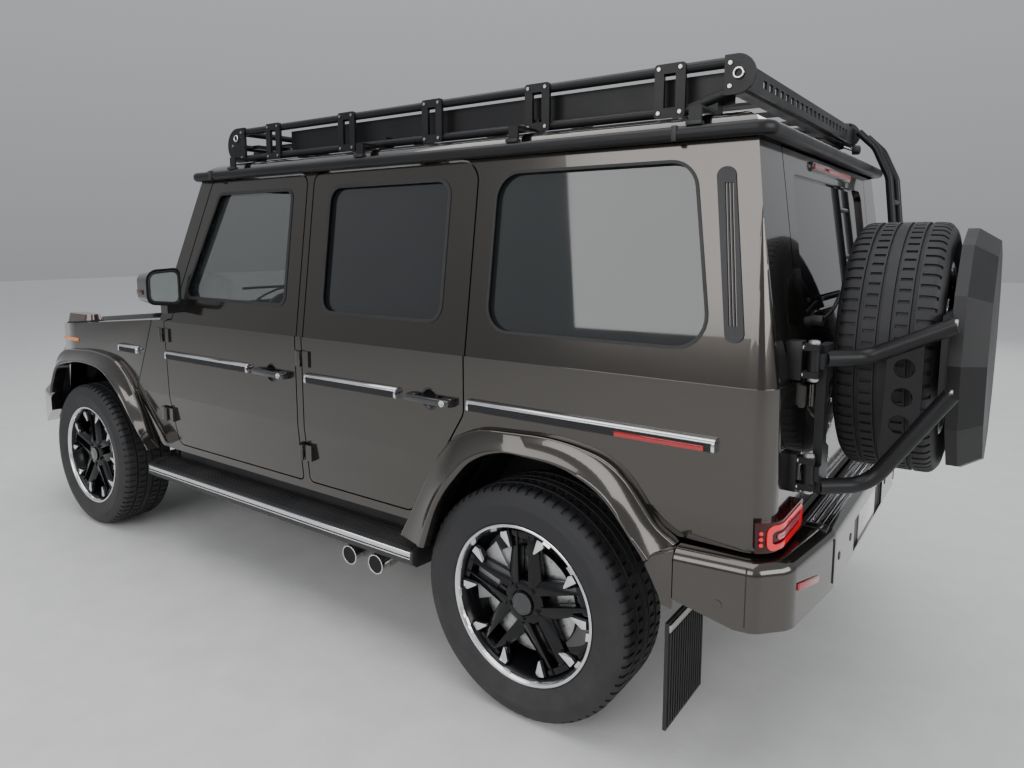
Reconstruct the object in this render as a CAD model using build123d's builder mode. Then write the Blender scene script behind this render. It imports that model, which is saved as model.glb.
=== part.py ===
from build123d import *
import math
import os

# Upright four-door off-road car on beam axles, in millimetres.
# X points forward, Y to the left, Z up from the ground.
# Stations along the car are counted from the middle of the wheelbase.

# Overall stance
wheelbase = 2890
track = 1651
nose_reach = 2325          # wheelbase middle to the front bumper's face
axle_z = 393               # tyre radius, the car stands on its tyres

# Tyres and rims
tyre_width = 275
tread_width = 224
bead_radius = 254
lip_radius = 271
rim_width = 248
rim_gap = 0.3
disc_radius = 178
disc_width = 26
disc_in = 34               # wheel middle to the brake disc's inner face

# Body shell
body_half = 920
wall = 60                  # whole thickness of a door or side
skin = 25                  # outer layer of a door
tail_x = -2215
beyond_tail = tail_x - 185     # a station clear of the rear face
beyond_side = body_half + 80   # a width clear of the side
corner_radius = 75
sill_z = 546
tuck_z = 822               # lower crease, the side tucks in below it
tuck_angle = 5.2
belt_z = 1187
belt_ledge = 8
lean_angle = 8.0
roof_seat_z = 1862
cab_nose_x = 1000
bumper_top_z = 745
a_pillar_top = (404, 1900)
a_pillar_foot = (705, 1190)
cowl_x = 763
wing_seam_low = (928, 852)
shut_gap = 6
seal_step = 12
glass_depth = 14
glass_thick = 6
glass_gap = 0.3
pin_gap = 0.3
seat_gap = 0.3             # between a piece and what it is fixed to

# Bonnet and front
bonnet_slope = 0.0857
bonnet_rear_x = 800
bonnet_front_x = 2078
bonnet_half = body_half - 195
bonnet_thick = 34
bonnet_pin = (806, 1170)   # station and height of the bonnet's hinge line
bonnet_eye_y = 612
bonnet_eye_width = 24
bonnet_eye_radius = 10
bonnet_pin_radius = 5
panel_front_x = 2085
panel_thick = 40
panel_low_z = 705
lamp_y = body_half - 265
lamp_z = 885
lamp_radius = 118
grille_half = lamp_y - 185
grille_low_z = 745
grille_high_z = 1015
grille_gap = 0.3

# Frame, boards and axles
rail_y = 390
rail_width = 80
rail_low_z = 470
rail_high_z = 590
rail_front_x = 2091
rail_rear_x = -2160
floor_thick = 12
beam_radius = 48
diff_y = -180
tunnel_half = 225
tunnel_top_z = 775
tunnel_rear_x = -140
kingpin_y = 700
fork_half = 62             # axle centre to the inner faces of the kingpin fork
fork_thick = 20
steer_arm = 150
arm_low = 30               # steering arm's underside below the axle centre
board_front_x = 826
board_rear_x = -976

# Roof
roof_half = body_half - 94
roof_top_z = 1948
roof_thick = 40
gutter_low_z = 1840
gutter_high_z = 1878
gutter_round = 16
gutter_half = roof_half + 36
gutter_front_x = 474
gutter_rear_x = tail_x + 53
roof_gap = 0.4
rack_y = roof_half - 106
rack_front_x = 334
rack_rear_x = -2075
rack_low_z = 1940
rack_high_z = 2058
rack_tube = 15

# Tailgate, spare wheel and its carrier
gate_half = body_half - 313
gate_low_z = 778
gate_high_z = 1834
gate_axis = (tail_x - 14, gate_half + 7)
spare_x = -2396
spare_y = 150
spare_z = 1233
carrier_axis = (tail_x - 47, body_half - 175)
carrier_tube = 22
carrier_knuckle = 28
gusset_holes = ((-2461, 1229), (-2459, 1150), (-2456, 1075))
carrier_plate_x = -2553
cover_radius = 372
cover_depth = 88

tail_reach = -carrier_plate_x + cover_depth
mid_x = (tail_reach - nose_reach) / 2
front_axle_x = wheelbase / 2
rear_axle_x = -wheelbase / 2
hub_y = track / 2

# Side outlines, each point is (station, height)
cab_outline = (
    (beyond_tail, bumper_top_z), (beyond_tail, a_pillar_top[1]), a_pillar_top, a_pillar_foot,
    (cowl_x, belt_z), wing_seam_low, (739, 602), (700, 500), (-1500, 500), (-1500, bumper_top_z),
)
front_door_outline = (
    (-320, 585), (-320, 1834), (338, 1834), (600, 1196), (652, 1188), (641, 822), (612, 585),
)
front_door_radii = (20, 45, 30, 14, 14, 14, 45)
rear_door_outline = (
    (-366, 587), (-366, 1834), (-1195, 1834), (-1195, 990), (-1030, 725), (-930, 587),
)
rear_door_radii = (20, 40, 75, 60, 40, 50)
vent_outline = ((-2010, 1765), (-2062, 1765), (-2124, 1302), (-2072, 1302))
vent_round = 24
vent_slots = (-9, 0, 9)    # stations of the three long slots, from the vent's middle line
arch_share = 0.45          # of its shorter edge, that each corner's rounding takes at either end
flare_foot = 14             # the flare's edge stands square to the side this far
flare_slope = 26
flare_lip = 68
front_window = ((-240, 1300), (-240, 1785), (282, 1785), (517, 1300))
rear_window = ((-458, 1285), (-458, 1785), (-1085, 1785), (-1085, 1285))
quarter_window = ((-1273, 1272), (-1273, 1792), (-1953, 1792), (-2037, 1272))

# Wheel arch outlines, each point is (distance ahead of the axle, height)
front_arch = (
    (-690, 540), (-575, 640), (-400, 815), (-258, 905), (-38, 923), (256, 880), (345, 690), (385, 520),
    (385, 300), (-690, 300),
)
front_flare = (
    (-664, 542), (-478, 853), (-321, 968), (-75, 989), (250, 965), (345, 905), (425, 720), (470, 560),
    (385, 300), (-690, 300),
)
rear_arch = (
    (400, 440), (314, 693), (170, 860), (47, 908), (-174, 900), (-310, 842), (-439, 680), (-500, 580),
    (-500, 300), (400, 300),
)
rear_flare = (
    (540, 500), (354, 828), (286, 907), (177, 958), (-134, 974), (-339, 934), (-466, 750), (-520, 690),
    (-500, 300), (400, 300),
)
front_wheelhouse = (
    (-700, 470), (-620, 640), (-430, 850), (-280, 945), (300, 945), (500, 760), (510, 440),
    (510, 300), (-700, 300),
)


def side_plane(y):
    return Plane(origin=(mid_x, y, 0), x_dir=(1, 0, 0), z_dir=(0, -1, 0))


def cross_plane(x):
    return Plane(origin=(mid_x + x, 0, 0), x_dir=(0, 1, 0), z_dir=(1, 0, 0))


def deck_plane(z):
    return Plane(origin=(mid_x, 0, z))


def bonnet_z(x):
    return belt_z - bonnet_slope * (x - cowl_x)


def shifted(points, x):
    return [(x + px, pz) for px, pz in points]


# Roundings that turn an arch outline into one smooth curve, its last two corners stay square
def arch_radii(points):
    radii = []
    for n in range(len(points) - 2):
        back = Vector(*points[n]) - Vector(*points[n - 1])
        on = Vector(*points[n + 1]) - Vector(*points[n])
        turn = math.radians(on.get_angle(back))
        radii.append(arch_share * min(back.length, on.length) / math.tan(turn / 2))
    return radii + [0, 0]


# A side-view outline carried across the car between two widths
def side_prism(points, y_low, y_high, radius=0, grow=0):
    with BuildPart() as prism:
        with BuildSketch(side_plane(y_high)):
            with BuildLine():
                if radius != 0:
                    FilletPolyline(*points, radius=radius, close=True)
                else:
                    Polyline(*points, close=True)
            make_face()
            if grow != 0:
                offset(amount=grow)
        extrude(amount=y_high - y_low)
    return prism.part


# A section seen along the car, carried between two stations
def cross_prism(points, x_low, x_high, radius=0):
    with BuildPart() as prism:
        with BuildSketch(cross_plane(x_low)):
            with BuildLine():
                if radius > 0:
                    FilletPolyline(*points, radius=radius, close=True)
                else:
                    Polyline(*points, close=True)
            make_face()
        extrude(amount=x_high - x_low)
    return prism.part


# A box by its corners, the stations counted from the wheelbase middle
def block(x_low, x_high, y_low, y_high, z_low, z_high):
    with BuildPart() as piece:
        with BuildSketch(deck_plane(z_low)):
            with Locations(((x_low + x_high) / 2, (y_low + y_high) / 2)):
                Rectangle(x_high - x_low, y_high - y_low)
        extrude(amount=z_high - z_low)
    return piece.part


# A round bar from one point to another
def bar(start, end, radius):
    a = Vector(mid_x + start[0], start[1], start[2])
    b = Vector(mid_x + end[0], end[1], end[2])
    with BuildPart() as piece:
        with BuildSketch(Plane(origin=a, z_dir=b - a)):
            Circle(radius)
        extrude(amount=(b - a).length)
    return piece.part


# A bent round tube along points, with one bend radius
def tube(points, radius, bend):
    path = [Vector(mid_x + x, y, z) for x, y, z in points]
    with BuildPart() as piece:
        with BuildLine() as line:
            FilletPolyline(*path, radius=bend)
        with BuildSketch(Plane(origin=line.line @ 0, z_dir=line.line % 0)):
            Circle(radius)
        sweep()
    return piece.part


def both_sides(piece):
    with BuildPart() as pair:
        add(piece)
        mirror(piece, about=Plane.XZ)
    return pair.part


def right_copy(piece):
    with BuildPart() as copy:
        mirror(piece, about=Plane.XZ)
    return copy.part


def save(piece, name):
    piece.label = name
    export_step(piece, "parts/" + name + ".step")


# The solid that the cabin's skin encloses, moved in by a depth
def cab_form(inset):
    def plan(z, extra):
        with BuildSketch(deck_plane(z)) as outline:
            rear = tail_x + inset + extra
            with Locations(((rear + cab_nose_x) / 2, 0)):
                Rectangle(cab_nose_x - rear, 2 * (body_half - inset - extra))
            fillet(outline.vertices().group_by(Axis.X)[0], radius=max(corner_radius - inset - extra, 10))
        return outline.sketch

    low = plan(tuck_z, 0)
    high = plan(belt_z, belt_ledge)
    with BuildPart() as form:
        extrude(low, amount=belt_z - tuck_z)
        extrude(low, amount=tuck_z - sill_z, dir=(0, 0, -1), taper=tuck_angle)
        extrude(high, amount=roof_seat_z - belt_z, taper=lean_angle)
    return form.part


def layer(outer, inner):
    with BuildPart() as shell:
        add(outer)
        add(inner, mode=Mode.SUBTRACT)
    return shell.part


outer_form = cab_form(0)
seat_form = cab_form(-seat_gap)
skin_form = cab_form(skin)
inner_form = cab_form(wall)
glass_out = cab_form(glass_depth)
glass_in = cab_form(glass_depth + glass_thick)
whole_shell = layer(outer_form, inner_form)
skin_shell = layer(outer_form, skin_form)
inner_shell = layer(skin_form, inner_form)
glass_shell = layer(glass_out, glass_in)

os.makedirs("parts", exist_ok=True)

# Body sides, from the windscreen pillar to the rear corner
door_cuts = (
    (front_door_outline, front_door_radii),
    (rear_door_outline, rear_door_radii),
)
hinge_radius = 10
hinge_out = 12
hinge_half = 32
hinge_leaf = 8
leaf_reach = 54
short_reach = 30           # body leaf of the rear door, on the narrow middle pillar
foot_width = 14
foot_depth = 16            # the foot reaches the tucked skin under the lower leaf
front_hinge_x = 664
rear_hinge_x = -357
front_hinge_levels = (1120, 730)
rear_hinge_levels = (1100, 715)
hinge_y = body_half + hinge_out
gate_hinge_levels = (1130, 882)
gate_leaf_reach = 40


# Half of each exposed hinge: a leaf on the skin and a knuckle on the pin line
def hinge_half_set(x, levels, side, lower, reach):
    with BuildPart() as leaves:
        for z in levels:
            low = z - hinge_half if lower else z + pin_gap / 2
            high = z - pin_gap / 2 if lower else z + hinge_half
            add(block(*sorted((x + side * 14, x + side * reach)), body_half, body_half + hinge_leaf,
                      z - hinge_half, z + hinge_half))
            add(block(*sorted((x + side * (reach - foot_width), x + side * reach)), body_half - foot_depth, body_half,
                      z - hinge_half, z + hinge_half))
            add(block(*sorted((x, x + side * 14)), body_half + 4, body_half + hinge_leaf, low, high))
            with BuildSketch(Plane(origin=(mid_x + x, hinge_y, low))):
                Circle(hinge_radius)
            extrude(amount=high - low)
    return leaves.part


# The same for the tailgate, on the rear face
def gate_hinge(lower):
    axis_x, axis_y = gate_axis
    with BuildPart() as leaves:
        for z in gate_hinge_levels:
            low = z - hinge_half if lower else z + pin_gap / 2
            high = z - pin_gap / 2 if lower else z + hinge_half
            side = 1 if lower else -1
            add(block(tail_x - hinge_leaf, tail_x, *sorted((axis_y + side * 14, axis_y + side * gate_leaf_reach)),
                      z - hinge_half, z + hinge_half))
            add(block(tail_x - hinge_leaf, tail_x - 4, *sorted((axis_y, axis_y + side * 14)), low, high))
            with BuildSketch(Plane(origin=(mid_x + axis_x, axis_y, low))):
                Circle(hinge_radius)
            extrude(amount=high - low)
    return leaves.part


with BuildPart() as body_left:
    add(whole_shell)
    add(side_prism(cab_outline, 0, beyond_side), mode=Mode.INTERSECT)
    add(block(beyond_tail, tail_x + 215, -gate_half - shut_gap, gate_half + shut_gap, 400, gutter_low_z),
        mode=Mode.SUBTRACT)
    add(block(beyond_tail, tail_x + 215, -1, 1, 400, 2000), mode=Mode.SUBTRACT)
    for outline, radius in door_cuts:
        add(side_prism(outline, 500, beyond_side, radius, shut_gap), mode=Mode.SUBTRACT)
    add(side_prism(quarter_window, 500, beyond_side, 90), mode=Mode.SUBTRACT)
    add(side_prism(shifted(rear_arch, rear_axle_x), 500, beyond_side, arch_radii(rear_arch)), mode=Mode.SUBTRACT)
    add(side_prism(shifted(front_arch, front_axle_x), 500, beyond_side, arch_radii(front_arch)), mode=Mode.SUBTRACT)
    add(hinge_half_set(front_hinge_x, front_hinge_levels, 1, True, leaf_reach))
    add(hinge_half_set(rear_hinge_x, rear_hinge_levels, 1, True, short_reach))
    add(gate_hinge(True))
save(body_left.part, "body_side_left")
# the right side has no tailgate hinge
with BuildPart() as body_right:
    add(right_copy(body_left.part))
    add(block(beyond_tail, tail_x, -gate_half - 100, -gate_half + 100, 800, 1200), mode=Mode.SUBTRACT)
save(body_right.part, "body_side_right")


# A door: outer skin, stepped inner layer, window cut and hinge halves
def door(outline, radii, window, window_radius, hinge_x, levels, handle_x):
    with BuildPart() as inner:
        add(inner_shell)
        add(side_prism(outline, 500, beyond_side, radii, -seal_step), mode=Mode.INTERSECT)
    with BuildPart() as panel:
        add(skin_shell)
        add(side_prism(outline, 500, beyond_side, radii), mode=Mode.INTERSECT)
        add(inner.part)
        add(side_prism(window, 500, beyond_side, window_radius), mode=Mode.SUBTRACT)
        add(hinge_half_set(hinge_x, levels, -1, False, leaf_reach))
        # bar handle on two feet, with the round finger recess behind it
        with BuildSketch(side_plane(body_half + 1)):
            with Locations((handle_x - 15, 1022)):
                Circle(40)
        extrude(amount=15, mode=Mode.SUBTRACT)
        add(block(handle_x - 125, handle_x + 75, body_half + 16, body_half + 30, 1010, 1034))
        add(block(handle_x - 125, handle_x - 85, body_half - 2, body_half + 16, 1010, 1034))
        add(block(handle_x + 40, handle_x + 75, body_half - 2, body_half + 16, 1010, 1034))
    with BuildPart() as pane:
        add(glass_shell)
        add(side_prism(window, 500, beyond_side, window_radius, -glass_gap), mode=Mode.INTERSECT)
    return panel.part, pane.part


doors = (
    ("door_front", front_door_outline, front_door_radii, front_window, 45, front_hinge_x, front_hinge_levels, -150),
    ("door_rear", rear_door_outline, rear_door_radii, rear_window, 65, rear_hinge_x, rear_hinge_levels, -1030),
)
for name, outline, radii, window, radius, hinge_x, levels, handle_x in doors:
    panel, pane = door(outline, radii, window, radius, hinge_x, levels, handle_x)
    save(panel, name + "_left")
    save(right_copy(panel), name + "_right")
    save(pane, name + "_glass_left")
    save(right_copy(pane), name + "_glass_right")

# Mirrors, each on a foot at the front corner of the door
with BuildPart() as mirror_left:
    add(block(490, 546, body_half - wall, body_half + 70, 1238, 1300))
    add(outer_form, mode=Mode.SUBTRACT)
    with BuildSketch(cross_plane(480)):
        with BuildLine():
            FilletPolyline((body_half + 5, 1268), (body_half + 168, 1285), (body_half + 168, 1440),
                           (body_half + 5, 1448), radius=(20, 40, 55, 30), close=True)
        make_face()
    extrude(amount=105, taper=8)
save(mirror_left.part, "mirror_left")
save(right_copy(mirror_left.part), "mirror_right")

# Fixed glass: windscreen and the two rear quarter panes


def screen_x(z):
    share = (z - a_pillar_foot[1]) / (a_pillar_top[1] - a_pillar_foot[1])
    return a_pillar_foot[0] + share * (a_pillar_top[0] - a_pillar_foot[0])


def screen_slab(z_low, z_high, front, back):
    points = (
        (screen_x(z_low) - front, z_low), (screen_x(z_high) - front, z_high),
        (screen_x(z_high) - back, z_high), (screen_x(z_low) - back, z_low),
    )
    return side_prism(points, -beyond_side, beyond_side)


screen_low_z = 1255
screen_high_z = 1805
screen_margin = 20
with BuildPart() as screen_hole:
    add(cab_form(wall + screen_margin))
    add(screen_slab(screen_low_z, screen_high_z, -200, 200), mode=Mode.INTERSECT)
with BuildPart() as quarter_pane:
    add(glass_shell)
    add(side_prism(quarter_window, 500, beyond_side, 90, -glass_gap), mode=Mode.INTERSECT)
with BuildPart() as fixed_glass:
    add(cab_form(wall + screen_margin + glass_gap))
    add(screen_slab(screen_low_z + glass_gap, screen_high_z - glass_gap, 10, 17), mode=Mode.INTERSECT)
    add(both_sides(quarter_pane.part))
save(fixed_glass.part, "fixed_glass")

# Air vents behind the quarter windows, on the skin
vent_proud = 5
with BuildPart() as vent:
    add(layer(cab_form(-vent_proud), seat_form))
    add(side_prism(vent_outline, 500, beyond_side, vent_round), mode=Mode.INTERSECT)
    for x in vent_slots:
        slot = ((x - 2046, 1722), (x - 2051, 1722), (x - 2093, 1345), (x - 2088, 1345))
        add(side_prism(slot, 500, beyond_side), mode=Mode.SUBTRACT)
save(both_sides(vent.part), "side_vents")

# Cowl: windscreen frame, scuttle top and the bulkhead behind the engine
with BuildPart() as cowl:
    add(screen_slab(belt_z - 30, roof_seat_z, 0, 45))
    add(block(650, bonnet_rear_x - 16, -1000, 1000, belt_z - 45, belt_z - 8))
    add(block(650, 662, -1000, 1000, rail_high_z + floor_thick, belt_z - 45))
    add(block(600, 700, -tunnel_half + floor_thick, tunnel_half - floor_thick, 400, tunnel_top_z - floor_thick),
        mode=Mode.SUBTRACT)
    add(inner_form, mode=Mode.INTERSECT)
    add(screen_hole.part, mode=Mode.SUBTRACT)
    for side in (1, -1):
        house = side_prism(shifted(front_wheelhouse, front_axle_x), *sorted((side * 450, side * 900)))
        add(house, mode=Mode.SUBTRACT)
    pin_x, pin_z = bonnet_pin
    for side in (1, -1):
        eye_low = side * bonnet_eye_y - bonnet_eye_width / 2
        eye_high = side * bonnet_eye_y + bonnet_eye_width / 2
        add(block(bonnet_rear_x - 20, pin_x, eye_low, eye_high, pin_z - 6, pin_z + 6))
        add(bar((pin_x, eye_low, pin_z), (pin_x, eye_high, pin_z), bonnet_eye_radius))
        add(bar((pin_x, eye_low, pin_z), (pin_x, eye_high, pin_z), bonnet_pin_radius + pin_gap), mode=Mode.SUBTRACT)
save(cowl.part, "cowl")

# Floor on the frame, with the cross sill under the tailgate
with BuildPart() as floor_pan:
    add(block(tail_x + wall, 650, -1000, 1000, rail_high_z, rail_high_z + floor_thick))
    add(inner_form, mode=Mode.INTERSECT)
    add(block(tunnel_rear_x, 650, -tunnel_half, tunnel_half, rail_high_z, tunnel_top_z))
    add(block(tunnel_rear_x + floor_thick, 660, -tunnel_half + floor_thick, tunnel_half - floor_thick,
              400, tunnel_top_z - floor_thick), mode=Mode.SUBTRACT)
    add(block(tail_x + wall - 4, tail_x + wall + 40, -gate_half, gate_half, rail_high_z, rail_high_z + floor_thick))
    add(block(tail_x + wall - 4, tail_x + wall, -gate_half, gate_half, rail_high_z, gate_low_z - 16))
    add(block(tail_x + 8, tail_x + wall, -gate_half, gate_half, bumper_top_z, gate_low_z - 8))
    for side in (1, -1):
        y_range = sorted((side * 600, side * beyond_side))
        add(side_prism(shifted(rear_arch, rear_axle_x), *y_range, arch_radii(rear_arch), 10), mode=Mode.SUBTRACT)
        add(side_prism(shifted(front_wheelhouse, front_axle_x), *y_range), mode=Mode.SUBTRACT)
save(floor_pan.part, "floor_pan")

# Inner wheelhouses, open towards the wheel
liner = 9
house_inner_y = 462
wing_thick = 55
nose_corner = 48           # rounding of the wing's front corner
with BuildPart() as rear_house:
    add(side_prism(shifted(rear_arch, rear_axle_x), 610, body_half - wall, arch_radii(rear_arch), liner))
    add(side_prism(shifted(rear_arch, rear_axle_x), 610 + liner, body_half, arch_radii(rear_arch)),
        mode=Mode.SUBTRACT)
    add(block(beyond_tail, 0, 0, beyond_side, 200, 470), mode=Mode.SUBTRACT)
    add(inner_form, mode=Mode.INTERSECT)
with BuildPart() as front_house:
    add(side_prism(shifted(front_wheelhouse, front_axle_x), house_inner_y, body_half - wing_thick))
    add(side_prism(shifted(front_wheelhouse, front_axle_x), house_inner_y + liner, beyond_side, 0, -liner),
        mode=Mode.SUBTRACT)
    add(block(0, 2400, 0, beyond_side, 200, 490), mode=Mode.SUBTRACT)
    add(block(0, cab_nose_x, body_half - wall - 30, beyond_side, 0, 2000), mode=Mode.SUBTRACT)
    for x in (1050, 1850):
        add(block(x - 25, x + 25, rail_y + rail_width / 2, house_inner_y + liner, 500, 530))
with BuildPart() as wheelhouses:
    add(both_sides(rear_house.part))
    add(both_sides(front_house.part))
save(wheelhouses.part, "wheelhouses")

# Front wings: side wall, top strip and the front return
wing_outline = (
    (cowl_x + 5, belt_z - 1), (panel_front_x, bonnet_z(panel_front_x)), (panel_front_x, panel_low_z),
    (1300, panel_low_z), (wing_seam_low[0] + 5, wing_seam_low[1] - 4),
)
strip_outline = (
    (bonnet_rear_x - 8, bonnet_z(bonnet_rear_x - 8)), (panel_front_x, bonnet_z(panel_front_x)),
    (panel_front_x, bonnet_z(panel_front_x) - 36), (bonnet_rear_x - 8, bonnet_z(bonnet_rear_x - 8) - 36),
)
with BuildPart() as wing:
    add(side_prism(wing_outline, body_half - wing_thick, body_half))
    add(side_prism(strip_outline, bonnet_half + 6, body_half - wing_thick))
    add(side_prism(shifted(front_arch, front_axle_x), 500, beyond_side, arch_radii(front_arch), 35),
        mode=Mode.SUBTRACT)
    corner = wing.edges().filter_by(Axis.Z).group_by(Axis.X)[-1].sort_by(Axis.Y)[-1]
    fillet(corner, radius=nose_corner)
save(both_sides(wing.part), "front_wings")


# Flares stand proud of the side and slope out to their lip
def flare(outline, arch, x):
    with BuildPart() as piece:
        with BuildSketch(side_plane(body_half)):
            with BuildLine():
                FilletPolyline(*shifted(outline, x), radius=arch_radii(outline), close=True)
            make_face()
        extrude(amount=-flare_foot)
        with BuildSketch(side_plane(body_half + flare_foot)):
            with BuildLine():
                FilletPolyline(*shifted(outline, x), radius=arch_radii(outline), close=True)
            make_face()
        with BuildSketch(side_plane(body_half + flare_lip)):
            with BuildLine():
                FilletPolyline(*shifted(outline, x), radius=arch_radii(outline), close=True)
            make_face()
            offset(amount=-flare_slope)
        loft()
        add(side_prism(shifted(arch, x), 500, body_half + 180, arch_radii(arch)), mode=Mode.SUBTRACT)
        add(block(beyond_tail, 2400, 0, body_half + 180, 200, 505 if x < 0 else 545), mode=Mode.SUBTRACT)
        if x > 0:
            add(block(1700, 2400, 0, body_half + 180, 200, panel_low_z), mode=Mode.SUBTRACT)
    return piece.part



with BuildPart() as flares:
    add(both_sides(flare(front_flare, front_arch, front_axle_x)))
    add(both_sides(flare(rear_flare, rear_arch, rear_axle_x)))
save(flares.part, "wheel_flares")

# Bonnet with a raised centre
dome_rise = 22
with BuildPart() as bonnet:
    rear_z = bonnet_z(bonnet_rear_x)
    front_z = bonnet_z(bonnet_front_x)
    add(side_prism(((bonnet_rear_x, rear_z), (bonnet_front_x, front_z), (bonnet_front_x, front_z - bonnet_thick),
                    (bonnet_rear_x, rear_z - bonnet_thick)), -bonnet_half, bonnet_half))
    add(side_prism(((bonnet_rear_x + 20, rear_z - 2), (bonnet_rear_x + 60, rear_z + dome_rise - 4),
                    (bonnet_front_x - 50, front_z + dome_rise), (bonnet_front_x - 12, front_z)), -560, 560))
    for side in (1, -1):
        slot_low = side * bonnet_eye_y - bonnet_eye_width / 2 - 4
        slot_high = side * bonnet_eye_y + bonnet_eye_width / 2 + 4
        add(block(bonnet_rear_x - 5, pin_x + 18, slot_low, slot_high, 1100, 1250), mode=Mode.SUBTRACT)
        add(bar((pin_x, slot_low, pin_z), (pin_x, slot_high, pin_z), bonnet_pin_radius))
save(bonnet.part, "bonnet")

# Front panel with lamp holes and grille mouth
panel_top_z = bonnet_z(panel_front_x) - bonnet_thick - 8
with BuildPart() as front_panel:
    with BuildSketch(cross_plane(panel_front_x - panel_thick)):
        with Locations((0, (panel_low_z + panel_top_z) / 2)):
            Rectangle(2 * (body_half - wing_thick), panel_top_z - panel_low_z)
        with Locations((0, (grille_low_z + grille_high_z) / 2)):
            Rectangle(2 * grille_half, grille_high_z - grille_low_z, mode=Mode.SUBTRACT)
        with Locations((lamp_y, lamp_z), (-lamp_y, lamp_z)):
            Circle(lamp_radius, mode=Mode.SUBTRACT)
    extrude(amount=panel_thick)
save(front_panel.part, "front_panel")

# Grille: a frame with upright bars
with BuildPart() as grille:
    with BuildSketch(cross_plane(panel_front_x - panel_thick + 4)):
        with Locations((0, (grille_low_z + grille_high_z) / 2)):
            RectangleRounded(2 * (grille_half - grille_gap), grille_high_z - grille_low_z - 2 * grille_gap, 24)
            RectangleRounded(2 * grille_half - 60, grille_high_z - grille_low_z - 60, 12, mode=Mode.SUBTRACT)
    extrude(amount=50)
    with BuildSketch(cross_plane(panel_front_x - panel_thick + 10)):
        with Locations((0, (grille_low_z + grille_high_z) / 2)):
            with GridLocations(58, 1, 15, 1):
                Rectangle(16, grille_high_z - grille_low_z - 50)
    extrude(amount=34)
save(grille.part, "grille")

# Round headlamps and the indicator pods on the wings
with BuildPart() as lamps_front:
    with BuildSketch(cross_plane(panel_front_x - panel_thick)):
        with Locations((lamp_y, lamp_z), (-lamp_y, lamp_z)):
            Circle(lamp_radius - 0.3)
    extrude(amount=panel_thick + 22)
    fillet(lamps_front.edges().filter_by(GeomType.CIRCLE).group_by(Axis.X)[-1], radius=14)
save(lamps_front.part, "headlamps")

with BuildPart() as pod:
    with BuildSketch(deck_plane(bonnet_z(1690) - 12)):
        with Locations((1690, 815)):
            SlotOverall(280, 105)
    extrude(amount=62, taper=12)
    wedge = ((1400, bonnet_z(1400) - 100), (1400, bonnet_z(1400)), (2000, bonnet_z(2000)), (2000, 900))
    add(side_prism(wedge, 700, 900), mode=Mode.SUBTRACT)
save(both_sides(pod.part), "indicator_pods")

# Half plans of the bumpers from the middle out and back: station, width, rounding
front_bumper_plan = (
    (nose_reach, 600, 120), (nose_reach - 63, body_half - 40, 110), (nose_reach - 195, body_half + 45, 60),
    (1822, body_half + 60, 4), (1822, body_half + 1, 0), (2050, body_half - 15, 40), (panel_front_x + 6, 800, 20),
)
rear_bumper_plan = (
    (tail_x - 95, 560, 200), (tail_x - 55, body_half - 40, 90), (tail_x + 20, body_half + 40, 60),
    (tail_x + 235, body_half + 64, 4), (tail_x + 235, body_half + 10, 0), (tail_x + 55, body_half - 20, 30),
)


def bumper_plan(plan, z, height):
    corners = [(x, y) for x, y, rounding in plan] + [(x, -y) for x, y, rounding in reversed(plan)]
    roundings = [row[2] for row in plan]
    with BuildPart() as piece:
        with BuildSketch(deck_plane(z)):
            with BuildLine():
                FilletPolyline(*corners, radius=roundings + roundings[::-1], close=True)
            make_face()
        extrude(amount=height)
    return piece.part


# Front bumper, wrapped round to the flares, with its air intake and lamp recesses
plate_half = 275
plate_depth = 14
with BuildPart() as front_bumper:
    add(bumper_plan(front_bumper_plan, 470, 235))
    front_section = (
        (1820, 600), (1900, 560), (2120, 470), (nose_reach - 30, 480), (nose_reach + 75, 520), (nose_reach + 75, 640),
        (nose_reach - 25, 690), (1820, 703),
    )
    add(side_prism(front_section, -beyond_side, beyond_side), mode=Mode.INTERSECT)
    add(block(nose_reach - 70, nose_reach + 75, -420, 420, 515, 560), mode=Mode.SUBTRACT)
    for side in (1, -1):
        add(bar((nose_reach - 90, side * 640, 590), (nose_reach + 40, side * 640, 590), 42), mode=Mode.SUBTRACT)
save(front_bumper.part, "front_bumper")

# Rear bumper with a step pad across its top and a recess for the plate
with BuildPart() as rear_bumper:
    add(bumper_plan(rear_bumper_plan, 545, 192))
    rear_section = (
        (tail_x - 97, 596), (tail_x - 80, 552), (tail_x + 60, 545), (tail_x + 265, 600), (tail_x + 265, 735),
        (tail_x + 45, 720), (tail_x - 1, 737), (tail_x - 80, 716), (tail_x - 97, 694),
    )
    add(side_prism(rear_section, -beyond_side, beyond_side, (16, 30, 30, 20, 4, 20, 4, 12, 16)), mode=Mode.INTERSECT)
    add(block(beyond_tail, tail_x - 95 + plate_depth, -plate_half, plate_half, 556, 664), mode=Mode.SUBTRACT)
    # hollow of the step tread
    tread = ((tail_x - 6, 750), (tail_x - 6, 730), (tail_x - 72, 712), (tail_x - 72, 750))
    add(side_prism(tread, -560, 560), mode=Mode.SUBTRACT)
save(rear_bumper.part, "rear_bumper")

# Tail lamps wrap the rear corners
lamp_proud = 18
with BuildPart() as tail_lamp:
    add(layer(cab_form(-lamp_proud), seat_form))
    lamp_face = ((body_half - 268, 752), (beyond_side, 752), (beyond_side, 838), (body_half - 268, 838))
    add(cross_prism(lamp_face, beyond_tail, tail_x + 35, 16), mode=Mode.INTERSECT)
save(both_sides(tail_lamp.part), "tail_lamps")


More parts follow.
